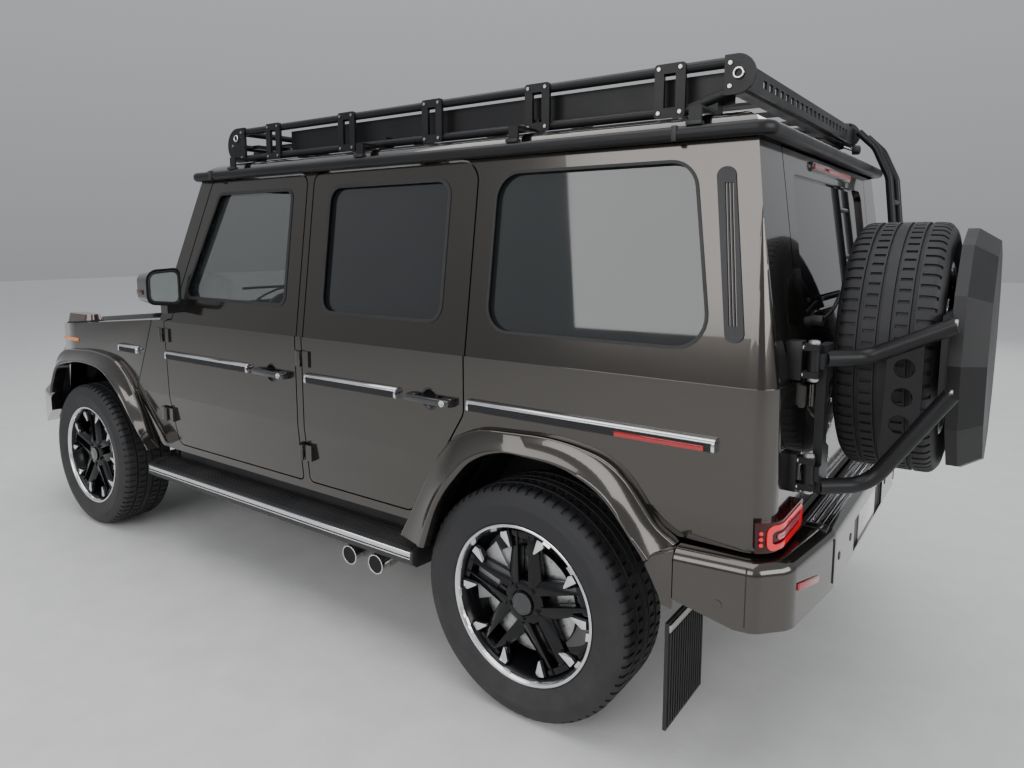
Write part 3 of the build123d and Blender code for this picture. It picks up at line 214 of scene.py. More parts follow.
finishes = {
    "paint": surface("bronzePaint", (0.064, 0.057, 0.05), 0.15, 0.18, metallic=0.9, smearScale=1.5, coat=1.0,
                     coatRough=0.02, grain=(1500.0, 0.008, 0.0002), dust=(0.7, 0.25), tone=0.03),
    "satin": surface("powderBlack", (0.009, 0.009, 0.01), 0.34, 0.44, grain=(700.0, 0.12, 0.0006),
                     specular=0.32),
    "plastic": surface("mouldedBlack", (0.02, 0.02, 0.022), 0.42, 0.55, grain=(420.0, 0.25, 0.001),
                       dust=(0.55, 0.35)),
    "rubber": surface("sealRubber", (0.012, 0.012, 0.013), 0.45, 0.6, grain=(300.0, 0.15, 0.0008)),
    "tyre": surface("tyreRubber", (0.016, 0.016, 0.018), 0.58, 0.7, smearScale=12.0, grain=(260.0, 0.2, 0.001),
                    dust=(0.75, 0.12), tone=0.15),
    "chassis": surface("chassisBlack", (0.03, 0.03, 0.03), 0.45, 0.62, grain=(240.0, 0.25, 0.001),
                       dust=(0.7, 0.55)),
    "casting": surface("castAluminium", (0.42, 0.42, 0.43), 0.45, 0.6, metallic=0.9, grain=(180.0, 0.3, 0.001),
                       dust=(0.7, 0.35)),
    "gloss": surface("glossBlack", (0.012, 0.012, 0.014), 0.1, 0.16, coat=1.0, tone=0.1),
    "spoke": surface("spokeBlack", (0.006, 0.006, 0.007), 0.16, 0.24, tone=0.1, specular=0.32),
    "lampBody": surface("lampBody", (0.035, 0.002, 0.003), 0.1, 0.16, coat=0.35, tone=0.1, specular=0.3),
    "turned": surface("turnedEdge", (0.78, 0.78, 0.8), 0.16, 0.26, metallic=1.0, smearScale=30.0, tone=0.06),
    "bright": surface("brightStrip", (0.8, 0.8, 0.82), 0.1, 0.18, metallic=1.0, smearScale=20.0, tone=0.05),
    "steel": surface("stainless", (0.5, 0.48, 0.45), 0.2, 0.35, metallic=1.0, tone=0.15),
    "disc": surface("discSteel", (0.4, 0.4, 0.4), 0.25, 0.4, metallic=1.0, smearScale=60.0, tone=0.2),
    "leather": surface("darkHide", (0.03, 0.027, 0.026), 0.4, 0.5, grain=(350.0, 0.35, 0.001), tone=0.15),
    "amber": surface("amberLens", (0.75, 0.22, 0.03), 0.08, 0.14, coat=1.0),
    "redLens": surface("redLens", (0.35, 0.006, 0.01), 0.06, 0.12, coat=1.0),
    "redGlow": surface("redGlow", (0.7, 0.008, 0.015), 0.06, 0.12, coat=0.6,
                       Emission_Color=(1.0, 0.02, 0.04, 1), Emission_Strength=0.18),
    "redPale": surface("redPale", (0.6, 0.12, 0.16), 0.06, 0.12, coat=1.0),
    "plateWhite": surface("blankPlate", (0.75, 0.75, 0.73), 0.25, 0.35),
    "amberDark": surface("smokedAmber", (0.05, 0.028, 0.018), 0.06, 0.1, coat=1.0),
    "soot": surface("soot", (0.008, 0.008, 0.008), 0.8, 0.95, tone=0.3),
    "mirrorGlass": surface("mirrorGlass", (0.4, 0.44, 0.43), 0.03, 0.05, metallic=0.4, smearScale=3.0),
    "lampLens": surface("lampLens", (0.5, 0.52, 0.55), 0.08, 0.14, metallic=0.75, smearScale=14.0, coat=1.0),
    "coverBlack": surface("coverBlack", (0.012, 0.012, 0.013), 0.42, 0.5, tone=0.15, specular=0.35),
    "glass": glassSurface("clearGlass", (0.02, 0.025, 0.025), 0.28),
    "splitGlass": glassSurface("fixedGlass", (0.014, 0.016, 0.017), 0.93, 0.28),
    "tint": glassSurface("tintedGlass", (0.012, 0.012, 0.014), 0.93),
}
# by a part of the node's name, what isn't named here is painted
nodeFinish = {
    "glass": "door_front_glass", "splitGlass": "fixed_glass", "tint": "door_rear_glass tailgate_glass",
    "satin": "roof_rack roof_gutter rear_ladder spare_carrier carrier_brackets",
    "plastic": "wheelhouses running_boards dashboard side_vents",
    "gloss": "grille mirror rim", "tyre": "tyre", "coverBlack": "spare_cover",
    "lampBody": "tail_lamps", "lampLens": "headlamps", "amberDark": "indicator_pods",
    "chassis": "ladder_frame floor_pan front_axle rear_axle knuckle tie_rod",
    "casting": "engine_block driveline", "rubber": "mud_flaps", "steel": "exhaust", "leather": "seats",
}


def dress(obj, finish):
    obj.data.materials.clear()
    obj.data.materials.append(finishes[finish])


for name, obj in nodes.items():
    fitting = [finish for finish, parts in nodeFinish.items() if any(part in name for part in parts.split())]
    dress(obj, (fitting or ["paint"])[0])
print("materials set")


# ---- tools for modelling pieces by hand
def deselect():
    active = bpy.context.view_layer.objects.active
    if active and active.mode == "EDIT":
        bpy.ops.object.mode_set(mode="OBJECT")
    bpy.ops.object.select_all(action="DESELECT")


def chosen(piece):
    deselect()
    piece.select_set(True)
    bpy.context.view_layer.objects.active = piece
    return piece


def editing(piece):
    bpy.ops.object.mode_set(mode="EDIT")
    return piece


def everything():
    bpy.ops.mesh.select_all(action="SELECT")


def evened():
    everything()
    bpy.ops.mesh.normals_make_consistent(inside=False)


def welded(distance=0.0001):
    everything()
    bpy.ops.mesh.remove_doubles(threshold=distance)


def opened(name):
    # the new primitive, named, its place and size applied, ready in edit mode
    piece = bpy.context.object
    piece.name = name
    bpy.ops.object.transform_apply(location=True, rotation=True, scale=True)
    return editing(piece)


def slab(name, low, high):
    # a block between two corners in the car's millimetres
    low, high = mm(*low), mm(*high)
    deselect()
    bpy.ops.mesh.primitive_cube_add(size=1, location=(low + high) / 2)
    bpy.context.object.scale = [max(abs(side), 0.0001) for side in high - low]
    return opened(name)


def drum(name, start, end, radius, corners=32):
    # a cylinder between two middles in the frame's metres, its radius in millimetres
    deselect()
    turned = (end - start).to_track_quat("Z", "Y").to_euler()
    bpy.ops.mesh.primitive_cylinder_add(vertices=corners, radius=radius / 1000, depth=(end - start).length,
                                        location=(start + end) / 2, rotation=turned)
    return opened(name)


def drawn(name, points, closed=True):
    # corners drawn one after the other, from a small plane merged into the first of them
    deselect()
    bpy.ops.mesh.primitive_plane_add(size=0.01)
    piece = opened(name)
    bpy.ops.mesh.select_mode(type="VERT")
    bpy.ops.mesh.merge(type="CENTER")
    bpy.ops.transform.translate(value=points[0])
    for before, after in zip(points, points[1:]):
        bpy.ops.mesh.extrude_vertices_move(TRANSFORM_OT_translate={"value": after - before})
    everything()
    if closed:
        bpy.ops.mesh.edge_face_add()
    return piece


def pick(kind, test):
    # selects the faces, edges or corners that a test of their middle and normal names
    mesh = bmesh.from_edit_mesh(bpy.context.object.data)
    bpy.ops.mesh.select_mode(type=kind)
    bpy.ops.mesh.select_all(action="DESELECT")
    mesh.normal_update()
    for item in {"FACE": mesh.faces, "EDGE": mesh.edges, "VERT": mesh.verts}[kind]:
        places = [item.co] if kind == "VERT" else [vert.co for vert in item.verts]
        item.select = test(sum(places, Vector()) / len(places), getattr(item, "normal", None))
    mesh.select_flush_mode()
    bmesh.update_edit_mesh(bpy.context.object.data)


def push(vector):
    bpy.ops.mesh.extrude_region_move(TRANSFORM_OT_translate={"value": vector})


def facing(side, least=0.9):
    pick("FACE", lambda middle, normal: normal.dot(side) > least)


def bordered(side, border, depth):
    # the selected face gets a border, what it frames is pushed out or in, in millimetres
    bpy.ops.mesh.inset(thickness=border / 1000)
    push(side * depth / 1000)


def framed(side, border, depth, least=0.9):
    facing(side, least)
    bordered(side, border, depth)


def modified(piece, kind, **settings):
    bpy.ops.object.modifier_add(type=kind)
    modifier = piece.modifiers[-1]
    for label, value in settings.items():
        setattr(modifier, label, value)
    bpy.ops.object.modifier_apply(modifier=modifier.name)


def added(name, data):
    piece = bpy.data.objects.new(name, data)
    bpy.context.scene.collection.objects.link(piece)
    return piece


def finished(piece, finish, rounding=0, segments=2, body="body", smooth=35, even=True):
    if even:
        evened()
    chosen(piece)
    if rounding:
        modified(piece, "BEVEL", width=rounding / 1000, segments=segments,
                 limit_method="ANGLE", angle_limit=radians(30))
    bpy.ops.object.shade_smooth_by_angle(angle=radians(smooth))
    dress(piece, finish)
    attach(piece, body)
    bodyOf[piece.name] = body
    return piece


bodyOf = {}


def copied(piece, name, body=None, place=(0, 0, 0), turn=0, spin=0, mirror=False):
    # a copy with its own mesh, moved, spun about its axle, turned about the upright line or mirrored
    deselect()
    copy = chosen(added(name, piece.data.copy()))
    copy.location = place
    copy.rotation_euler = (0, radians(spin), radians(turn))
    copy.scale.y = -1 if mirror else 1
    bpy.ops.object.transform_apply(location=True, rotation=True, scale=True)
    if mirror:
        editing(copy)
        evened()
        deselect()
    if body:
        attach(copy, body)
    return copy


def pair(piece, node=None):
    # the piece becomes the left one and gets a mirrored copy, both may be shown instead of a node
    body = bodyOf[piece.name].replace("_left", "_right")
    piece.name = piece.name + "_left"
    right = copied(piece, piece.name.replace("_left", "_right"), body, mirror=True)
    if node:
        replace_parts(piece, node)
        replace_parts(right, node)


def joined(name, pieces):
    # several unfinished pieces made into one mesh, opened in edit mode
    deselect()
    for piece in pieces:
        piece.select_set(True)
    bpy.context.view_layer.objects.active = pieces[0]
    bpy.ops.object.join()
    pieces[0].name = name
    return editing(pieces[0])


def rounded(corners, radii, steps=7):
    # corner points of a flat outline with its corners rounded
    outline = []
    for index, corner in enumerate(corners):
        here = Vector(corner)
        back = (Vector(corners[index - 1]) - here).normalized()
        ahead = (Vector(corners[(index + 1) % len(corners)]) - here).normalized()
        radius = radii[index] if isinstance(radii, (list, tuple)) else radii
        if not radius:
            outline.append(tuple(here))
            continue
        half = back.angle(ahead) / 2
        middle = here + (back + ahead).normalized() * radius / sin(half)
        first, last = (here + way * (radius / tan(half)) - middle for way in (back, ahead))
        sweep = first.angle_signed(last)
        for step in range(steps + 1):
            turn = -sweep * step / steps
            outline.append((middle.x + first.x * cos(turn) - first.y * sin(turn),
                            middle.y + first.x * sin(turn) + first.y * cos(turn)))
    return outline


def pipe(name, points, radius, finish, bend=0, body="body", resolution=6):
    # a round rod along points, its corners rounded by cutting them
    path = [mm(*point) for point in points]
    for _ in range(bend):
        cut = [path[0]]
        for a, b in zip(path, path[1:]):
            cut += [a.lerp(b, 0.25), a.lerp(b, 0.75)]
        path = cut + [path[-1]]
    curve = bpy.data.curves.new(name, "CURVE")
    curve.dimensions = "3D"
    curve.bevel_depth = radius / 1000
    curve.bevel_resolution = resolution
    curve.use_fill_caps = True
    line = curve.splines.new("POLY")
    line.points.add(len(path) - 1)
    for point, place in zip(line.points, path):
        point.co = (*place, 1)
    chosen(added(name, curve))
    bpy.ops.object.convert(target="MESH")
    return finished(editing(bpy.context.object), finish, body=body)


def panel(name, low, high, side, border, depth, finish, rounding=1.5, segments=2, body="body"):
    # a block whose one side is framed
    piece = slab(name, low, high)
    framed(side, border, depth)
    return finished(piece, finish, rounding, segments, body)


def knob(name, start, end, radius, border, depth, finish, rounding=0.6, corners=28, body="body"):
    # a short round piece whose far end is framed
    start, end = mm(*start), mm(*end)
    side = (end - start).normalized()
    piece = drum(name, start, end, radius, corners)
    framed(side, border, depth, 0.95)
    return finished(piece, finish, rounding, body=body)


def plaque(name, points, side, thick, border, depth, finish, rounding=0, body="body"):
    # a flat outline given a thickness and a frame
    piece = drawn(name, points)
    push(side * thick / 1000)
    bordered(side, border, depth)
    return finished(piece, finish, rounding, body=body)


# ---- tyres: one pitch of the tread is spun and cut, then repeated round the wheel
tyreLines = {"pitches": 70, "sipeDeg": 0.95, "sipeDepth": 0.0055, "tread": 360,
             "shoulder": (76, 124), "rib": (25, 55)}
# radius and distance from the middle, from the bead to the centre rib
tyreSection = (
    (257, 108), (270.5, 120), (275, 124.5), (300, 131.5), (318, 135.5), (328, 136.6), (330, 137.4), (340, 137.4),
    (342, 136.4), (356, 134.2), (368, 130), (379, 122.5), (386, 116), (390, 109), (391.8, 100), (392.5, 76),
    (392.6, 71), (384, 69.5), (384, 61), (392.8, 59.5), (392.9, 55), (393, 25), (393, 20.5), (386, 19.5),
    (386, 14), (393, 12.5),
)


def makeTyre():
    half = [Vector((0, y / 1000, radius / 1000)) for radius, y in tyreSection]
    other = [Vector((0, -point.y, point.z)) for point in reversed(half)]
    piece = drawn("tyre", half + other, closed=False)
    pitch, cut = 360 / tyreLines["pitches"], tyreLines["sipeDeg"]
    for step in (cut, pitch / 2 - cut) * 2:
        bpy.ops.mesh.spin(steps=1, angle=radians(step), center=(0, 0, 0), axis=(0, 1, 0))

    def sipe(middle, normal):
        # the shoulder is cut in one half of the pitch and the rib in the other, the two sides change about
        angle = degrees(atan2(middle.x, middle.z)) % pitch
        first, second = angle < cut, 0 < angle - pitch / 2 < cut
        far, radius = abs(middle.y) * 1000, hypot(middle.x, middle.z) * 1000
        shoulder, rib = (tyreLines[part][0] < far < tyreLines[part][1] for part in ("shoulder", "rib"))
        shoulder = shoulder and radius > tyreLines["tread"]
        left = middle.y > 0
        return (first and (shoulder if left else rib)) or (second and (rib if left else shoulder))

    pick("FACE", sipe)
    bpy.ops.mesh.extrude_region_shrink_fatten(TRANSFORM_OT_shrink_fatten={"value": tyreLines["sipeDepth"]})
    deselect()
    bpy.ops.object.empty_add(location=(0, 0, 0), rotation=(0, radians(pitch), 0))
    pivot = bpy.context.object
    chosen(piece)
    modified(piece, "ARRAY", count=tyreLines["pitches"], use_relative_offset=False, use_object_offset=True,
             offset_object=pivot, use_merge_vertices=True, use_merge_vertices_cap=True, merge_threshold=0.0001)
    bpy.data.objects.remove(pivot)
    editing(piece)
    welded()
    return finished(piece, "tyre", smooth=28)


wheelPlaces = (
    # name, station, distance to the left, turn, body of the wheel, body that carries it
    ("front_left", 1445, 825.5, 0, "wheel_front_left", "knuckle_left"),
    ("front_right", 1445, -825.5, 180, "wheel_front_right", "knuckle_right"),
    ("rear_left", -1445, 825.5, 0, "wheel_rear_left", "body"),
    ("rear_right", -1445, -825.5, 180, "wheel_rear_right", "body"),
)
axleZ = 393
sparePlace = (-2396, 150, 1233)


def spread(piece, name, spare=True, node=None):
    # a piece modelled about the origin goes to every wheel, or stands for a node there
    for place, x, y, turn, wheelBody, carrier in wheelPlaces:
        copy = copied(piece, name + "_" + place, wheelBody, mm(x, y, axleZ), turn)
        if node:
            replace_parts(copy, node + "_" + place)
    if spare:
        copy = copied(piece, name + "_spare", "spare_carrier", mm(*sparePlace), 90)
        if node:
            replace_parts(copy, "spare_" + node)
    bpy.data.objects.remove(piece)


spread(makeTyre(), "tread", node="tyre")
print("tyres made")

# ---- wheels: turned lip with teeth, spoke caps, tabs, nuts, cap and calipers, modelled once about the origin
wheelTrim = {"spokes": 5, "face": 104, "back": 64, "nutCircle": 56, "tabAngle": 17.5,
             "toothRadius": 256.5, "teeth": (22.4, 44.8), "tooth": 4.8}
rimSection = (
    (267, 118), (254, 109), (253, 86), (238, 64), (238, -90), (254, -110), (271, -124), (262, -124), (246, -106),
    (229, -84), (229, 58), (244, 86), (249, 106), (256, 114),
)
hubSection = ((0, 60), (54, 60), (76, 84), (74, 92), (62, 97), (44, 99), (40, 96), (0, 96))
lipSection = ((254, 112), (257, 119), (261, 124), (266, 125.4), (269.3, 123.8), (268.5, 118), (258, 111))


def around(angle, radius, across, depth):
    # a point in the wheel: angle from the top, distance out, distance along the tread, distance outward
    a = radians(angle)
    x, z = radius * sin(a) + across * cos(a), radius * cos(a) - across * sin(a)
    return Vector((x, depth, z)) / 1000


def spun(name, section, steps, closed=True):
    # a section given as radius and distance outward, turned about the wheel's own line
    piece = drawn(name, [Vector((0, y, radius)) / 1000 for radius, y in section])
    if not closed:
        bpy.ops.mesh.delete(type="ONLY_FACE")
        everything()
    bpy.ops.mesh.spin(steps=steps, angle=radians(360), center=(0, 0, 0), axis=(0, 1, 0))
    welded()
    return piece


def makeLip():
    piece = spun("wheelLip", lipSection, 120)
    bpy.ops.mesh.normals_make_consistent(inside=False)

    def tooth(middle, normal):
        angle = degrees(atan2(middle.x, middle.z)) % (360 / wheelTrim["spokes"])
        inside = hypot(middle.x, middle.z) * 1000 < wheelTrim["toothRadius"] and middle.y > 0.113
        return inside and any(start < angle < start + wheelTrim["tooth"] for start in wheelTrim["teeth"])

    pick("FACE", tooth)
    bpy.ops.mesh.extrude_region_shrink_fatten(TRANSFORM_OT_shrink_fatten={"value": 0.008})
    return finished(piece, "turned", even=False)


def makeBlade(side):
    # one blade of a twin spoke, its crest along the slot and its face falling away outward
    outline = ((56, 19), (238, 20), (240, 46), (88, 63.9), (60, 43.6))
    piece = drawn("blade", [around(0, radius, side * across, wheelTrim["back"]) for radius, across in outline])
    push(outward * (wheelTrim["face"] - wheelTrim["back"]) / 1000)
    pick("VERT", lambda place, normal: place.y > 0.1 and abs(place.x) > 0.03 and place.z > 0.07)
    bpy.ops.transform.translate(value=(0, -0.017, 0))
    pick("VERT", lambda place, normal: place.y > 0.08 and place.z < 0.07)
    bpy.ops.transform.translate(value=(0, -0.007, 0))
    everything()
    return piece


def makeTab(side, grow, low, high):
    outline = ((241, -13 - grow), (241, 13 + grow), (226, 16 + grow), (189, -7 + grow / 2), (187 - grow, -13 - grow))
    piece = drawn("tab", [around(side * wheelTrim["tabAngle"], min(radius + grow, 243), side * across, low)
                          for radius, across in outline])
    push(outward * (high - low) / 1000)
    return piece


def placedRound(piece, name, finish, rounding):
    # one piece finished, then a joined ring of copies on each wheel
    piece = finished(piece, finish, rounding)
    spins = [index * 360 / wheelTrim["spokes"] for index in range(wheelTrim["spokes"])]
    whole = joined(name, [copied(piece, name, spin=spin) for spin in spins])
    deselect()
    bpy.data.objects.remove(piece)
    spread(whole, name)


spread(makeLip(), "wheelLip")
spread(finished(spun("rimBarrel", rimSection, 96, closed=False), "spoke", smooth=40), "rimBarrel", node="rim")
spread(finished(spun("wheelHub", hubSection, 60, closed=False), "spoke", smooth=32), "wheelHub")
disc = drum("brakeDisc", outward * 0.034, outward * 0.06, 178, 72)
framed(outward, 70, -2)
spread(finished(disc, "disc", 1.5), "brakeDisc", spare=False)
placedRound(joined("blades", [makeBlade(1), makeBlade(-1)]), "spokeFaces", "spoke", 1.6)
# the bar that closes each twin spoke at the rim, set a step back from its crests
barOutline = ((221, -44), (240, -47), (244, 0), (240, 47), (221, 44))
bar = drawn("spokeEnd", [around(0, radius, across, wheelTrim["back"]) for radius, across in barOutline])
push(outward * 0.036)
facing(outward)
bpy.ops.transform.resize(value=(0.92, 1, 0.98))
placedRound(bar, "spokeEnds", "spoke", 2.5)
for name, finish, rounding, grow, low, high in (("tabBases", "spoke", 1.5, 4, 84, 101),
                                                ("spokeTabs", "turned", 1, 0, 98, 109)):
    tabs = [makeTab(side, grow, low, high) for side in (1, -1)]
    placedRound(joined("tabs", tabs), name, finish, rounding)
nutEnds = [around(180 / wheelTrim["spokes"], wheelTrim["nutCircle"], 0, depth) for depth in (90, 102)]
nut = drum("nut", *nutEnds, 9.5, 6)
framed(outward, 3, 2)
placedRound(nut, "wheelNuts", "satin", 0.6)
cap = drum("cap", outward * 0.099, outward * 0.107, 37, 48)
framed(outward, 4, -1.5)
bpy.ops.mesh.inset(thickness=0.01)
bpy.ops.transform.translate(value=(0, 0.002, 0))
spread(finished(cap, "gloss", 0.8), "wheelCap")

# calipers straddle the discs and stay with the knuckle or the axle
caliperLines = {"inner": 118, "outer": 214, "low": -18, "high": 70, "half": 34, "spin": 72}
half = caliperLines["half"]
arc = [around(a, caliperLines["outer"], 0, caliperLines["low"]) for a in range(-half, half + 1, 17)]
arc += [around(a, caliperLines["inner"], 0, caliperLines["low"]) for a in range(half - 4, -half, -15)]
caliper = drawn("caliper", arc)
push(outward * (caliperLines["high"] - caliperLines["low"]) / 1000)
framed(outward, 14, -8)
caliper = finished(caliper, "casting", 4, 3)
for place, x, y, turn, wheelBody, carrier in wheelPlaces:
    # ahead of the rear discs, behind the front ones
    spin = caliperLines["spin"] * (1 if x * y < 0 else -1)
    copied(caliper, "caliper_" + place, carrier, mm(x, y, axleZ), turn, spin)
bpy.data.objects.remove(caliper)
print("wheels made")


# ---- painted panels with soft edges: flares, wings, front panel and bumpers
def subtract(piece, tool):
    # cuts a closed tool out of a closed piece, the tool is used up
    for solid in (tool, piece):
        editing(chosen(solid))
        evened()
        bpy.ops.object.mode_set(mode="OBJECT")
    modified(piece, "BOOLEAN", operation="DIFFERENCE", solver="EXACT", object=tool)
    bpy.data.objects.remove(tool)
    editing(piece)


def trimmed(place, normal, above=False):
    # the open mesh is cut at a plane and loses what lies below it, or above it
    everything()
    bpy.ops.mesh.bisect(plane_co=place, plane_no=normal, use_fill=True, clear_inner=not above, clear_outer=above)


def softened(points, share=0.45, steps=6):
    # an open outline whose inner corners are rounded off
    points = [Vector(point) for point in points]
    path = [points[0]]
    for before, here, after in zip(points, points[1:], points[2:]):
        reach = share * min((here - before).length, (after - here).length)
        first = here + (before - here).normalized() * reach
        last = here + (after - here).normalized() * reach
        for step in range(steps + 1):
            t = step / steps
            path.append(first * (1 - t) ** 2 + here * 2 * t * (1 - t) + last * t ** 2)
    return path + [points[-1]]


def spaced(path, count):
    # the same line, walked in equal steps
    runs = [(b - a).length for a, b in zip(path, path[1:])]
    walked = []
    for index in range(count):
        goal = sum(runs) * index / (count - 1)
        for a, b, run in zip(path, path[1:], runs):
            if goal <= run + 1e-6:
                walked.append(a.lerp(b, min(1, goal / max(run, 1e-6))))
                break
            goal -= run
    return walked


def skinned(name, rows):
    # a surface carried from one row of points to the next
    strips = []
    for pair in zip(rows, rows[1:]):
        strips.append(joined("strip", [drawn("row", row, closed=False) for row in pair]))
        everything()
        bpy.ops.mesh.bridge_edge_loops()
    piece = joined(name, strips)
    welded(0.00005)
    return piece


# share of the way from the outer edge to the arch, and distance from the middle of the car
flareSection = (
    (0.0, 917), (0.0, 934), (0.02, 941), (0.06, 946), (0.11, 948), (0.16, 948), (0.72, 976), (0.80, 984),
    (0.86, 987), (0.93, 986.5), (0.98, 983), (1.0, 976), (1.0, 921),
)
flareSteps = 64
frontArch = ((-686, 545), (-575, 640), (-400, 815), (-258, 905), (-38, 923), (256, 880), (345, 730), (348, 706))
flareRuns = (
    # name, axle, outer edge, edge of the arch
    ("frontFlare", 1445,
     ((-664, 545), (-478, 853), (-321, 968), (-75, 989), (250, 965), (345, 905), (425, 720), (431, 706)),
     frontArch),
    ("rearFlare", -1445,
     ((537, 505), (354, 828), (286, 907), (177, 958), (-134, 974), (-339, 934), (-466, 770), (-528, 736)),
     ((378, 505), (314, 693), (170, 860), (47, 908), (-174, 900), (-310, 842), (-428, 700), (-446, 676))),
)
for name, axle, outer, arch in flareRuns:
    edge, opening = (spaced(softened(line), flareSteps) for line in (outer, arch))
    rows = []
    for share, y in flareSection:
        row = [a.lerp(b, share) for a, b in zip(edge, opening)]
        rows.append([mm(axle + point.x, y, point.y) for point in row])
    pair(finished(skinned(name, rows), "paint", smooth=38), "wheel_flares")
# the lower rear leg, flush with the bumper beside it
legOutline = ((-1979, 734), (-1915, 704), (-1893, 672), (-1938, 590), (-1945, 566), (-1979, 560))
leg = drawn("flareLeg", [mm(x, 921, z) for x, z in legOutline])
push(outward * 0.062)
pair(finished(leg, "paint", 5, 3), "wheel_flares")

# the body's lower corner between the front flare and the door
corner = ((930, 851), (978, 851), (902, 735), (812, 575), (795, 548), (722, 548), (739, 602))
piece = drawn("sillCorner", [mm(x, skinY(z) - 1, z) for x, z in corner])
push(outward * -0.03)
pair(finished(piece, "paint", 1))

# front wings: a block in plan with a long round corner, the lamp bowl and the arch cut from it
wingPlan = ((800, 731), (2052, 731), (2085, 742), (1890, 846), (1640, 920), (771, 920))
wingRounding = (0, 0, 12, 230, 420, 0)
wingLines = {"low": 706, "doorTop": (770, 0, 1186), "doorJoint": (-165, 338), "grow": 1.05, "lift": 30, "back": 12}
lampLines = {"y": 655, "z": 885, "hole": 118, "lensX": 2107}


def lampTool(side, radius):
    y = side * lampLines["y"]
    return drum("lampTool", mm(1990, y, lampLines["z"]), mm(2200, y, lampLines["z"]), radius, 64)


wing = drawn("wing", [mm(x, y, 700) for x, y in rounded(wingPlan, wingRounding, 12)])
push(up * 0.5)
slope = Vector((bodyLines["bonnetSlope"], 0, 1)).normalized()
trimmed(mm(bodyLines["bonnetX"], 0, bonnetZ(bodyLines["bonnetX"]) - 0.5), slope, above=True)
trimmed(mm(2000, 0, wingLines["low"]), up)
# the sloping joint beside the door
joint = Vector(wingLines["doorJoint"]).normalized()
trimmed(mm(*wingLines["doorTop"]), (joint.y, 0, -joint.x))
grown = []
for x, z in frontArch:
    grown.append((x * wingLines["grow"] - (wingLines["back"] if x <= 0 else 0), z + wingLines["lift"]))
corners = [(1445 + point.x, point.y) for point in spaced(softened(grown), 48)]
corners += [(corners[-1][0] + 2, 280), (corners[0][0] - 2, 280)]
tool = drawn("archTool", [mm(x, 600, z) for x, z in corners])
push(outward * 0.4)
subtract(wing, tool)
subtract(wing, lampTool(1, lampLines["hole"] + 1))
pair(finished(wing, "paint", 9, 4, smooth=30), "front_wings")

# front panel between the wings, with the lamp holes and the grille's mouth
frontPanel = slab("frontPanel", (2045, -728, 706), (2085, 728, 1031))
subtract(frontPanel, slab("mouthTool", (2000, -470, 745), (2200, 470, 1015)))
for side in (1, -1):
    subtract(frontPanel, lampTool(side, lampLines["hole"]))
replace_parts(finished(frontPanel, "paint", 2), "front_panel")

# bumpers: half plans carried up, their upper outer edge rolled over and their underside cut along a slope
bumperRoll = 40
# station, distance from the middle, rounding
frontPlan = ((2325, 0, 0), (2325, 600, 180), (2262, 800, 150), (2080, 905, 220), (1823, 975, 0), (1823, 921, 0),
             (2050, 850, 50), (2091, 770, 30), (2091, 0, 0))
rearPlan = ((-2310, 0, 0), (-2310, 560, 200), (-2270, 880, 90), (-2195, 960, 65), (-1981, 984, 0), (-1981, 930, 0),
            (-2160, 900, 30), (-2160, 0, 0))


def halfBumper(name, rows, low, high, slopeFrom, slopeTo):
    # one half of a bumper, its upper outer edge rolled and its underside cut along a sloping line
    outline = rounded([(x, y) for x, y, radius in rows], [radius for x, y, radius in rows], 10)
    piece = drawn(name, [mm(x, y, low) for x, y in outline])
    push(up * (high - low) / 1000)
    # the outer face runs from the middle of the car to the fifth corner
    last = outline.index(rows[4][:2])
    face = [mm(x, y, high) for x, y in outline[:last + 1]]
    middles = [(a + b) / 2 for a, b in zip(face, face[1:])]
    pick("EDGE", lambda middle, way: any((middle - spot).length < 0.0005 for spot in middles))
    bpy.ops.mesh.bevel(offset=bumperRoll / 1000, segments=8, affect="EDGES", clamp_overlap=True)
    along = mm(*slopeTo) - mm(*slopeFrom)
    trimmed(mm(*slopeFrom), Vector((-along.z, 0, along.x)).normalized())
    return piece


bumper = halfBumper("frontBumper", frontPlan, 478, 702, (1820, 0, 600), (2120, 0, 470))
subtract(bumper, drum("fogTool", mm(2234, 640, 590), mm(2400, 640, 590), 42, 48))
subtract(bumper, slab("intakeTool", (2255, -20, 515), (2400, 420, 560)))
pair(finished(bumper, "paint", smooth=32), "front_bumper")
bumper = halfBumper("rearBumper", rearPlan, 548, 736, (-2155, 0, 545), (-1950, 0, 600))
subtract(bumper, slab("plateTool", (-2400, -20, 556), (-2296, 275, 664)))
tread = drawn("treadTool", [mm(x, -20, z) for x, z in ((-2221, 760), (-2221, 730), (-2287, 712), (-2287, 760))])
push(outward * 0.58)
subtract(bumper, tread)
pair(finished(bumper, "paint", smooth=32), "rear_bumper")
print("body panels made")


def sectionAlong(name, section, front, rear, base=(0, 0)):
    # a flat section across the car, carried from one station to another
    piece = drawn(name, [mm(front, base[0] + y, base[1] + z) for y, z in section])
    push(fore * (rear - front) / 1000)
    return piece


# ---- side strips: a ribbed black band under a bright upper edge, with bright end caps
stripBase = (bodyLines["halfWidth"], 1006)
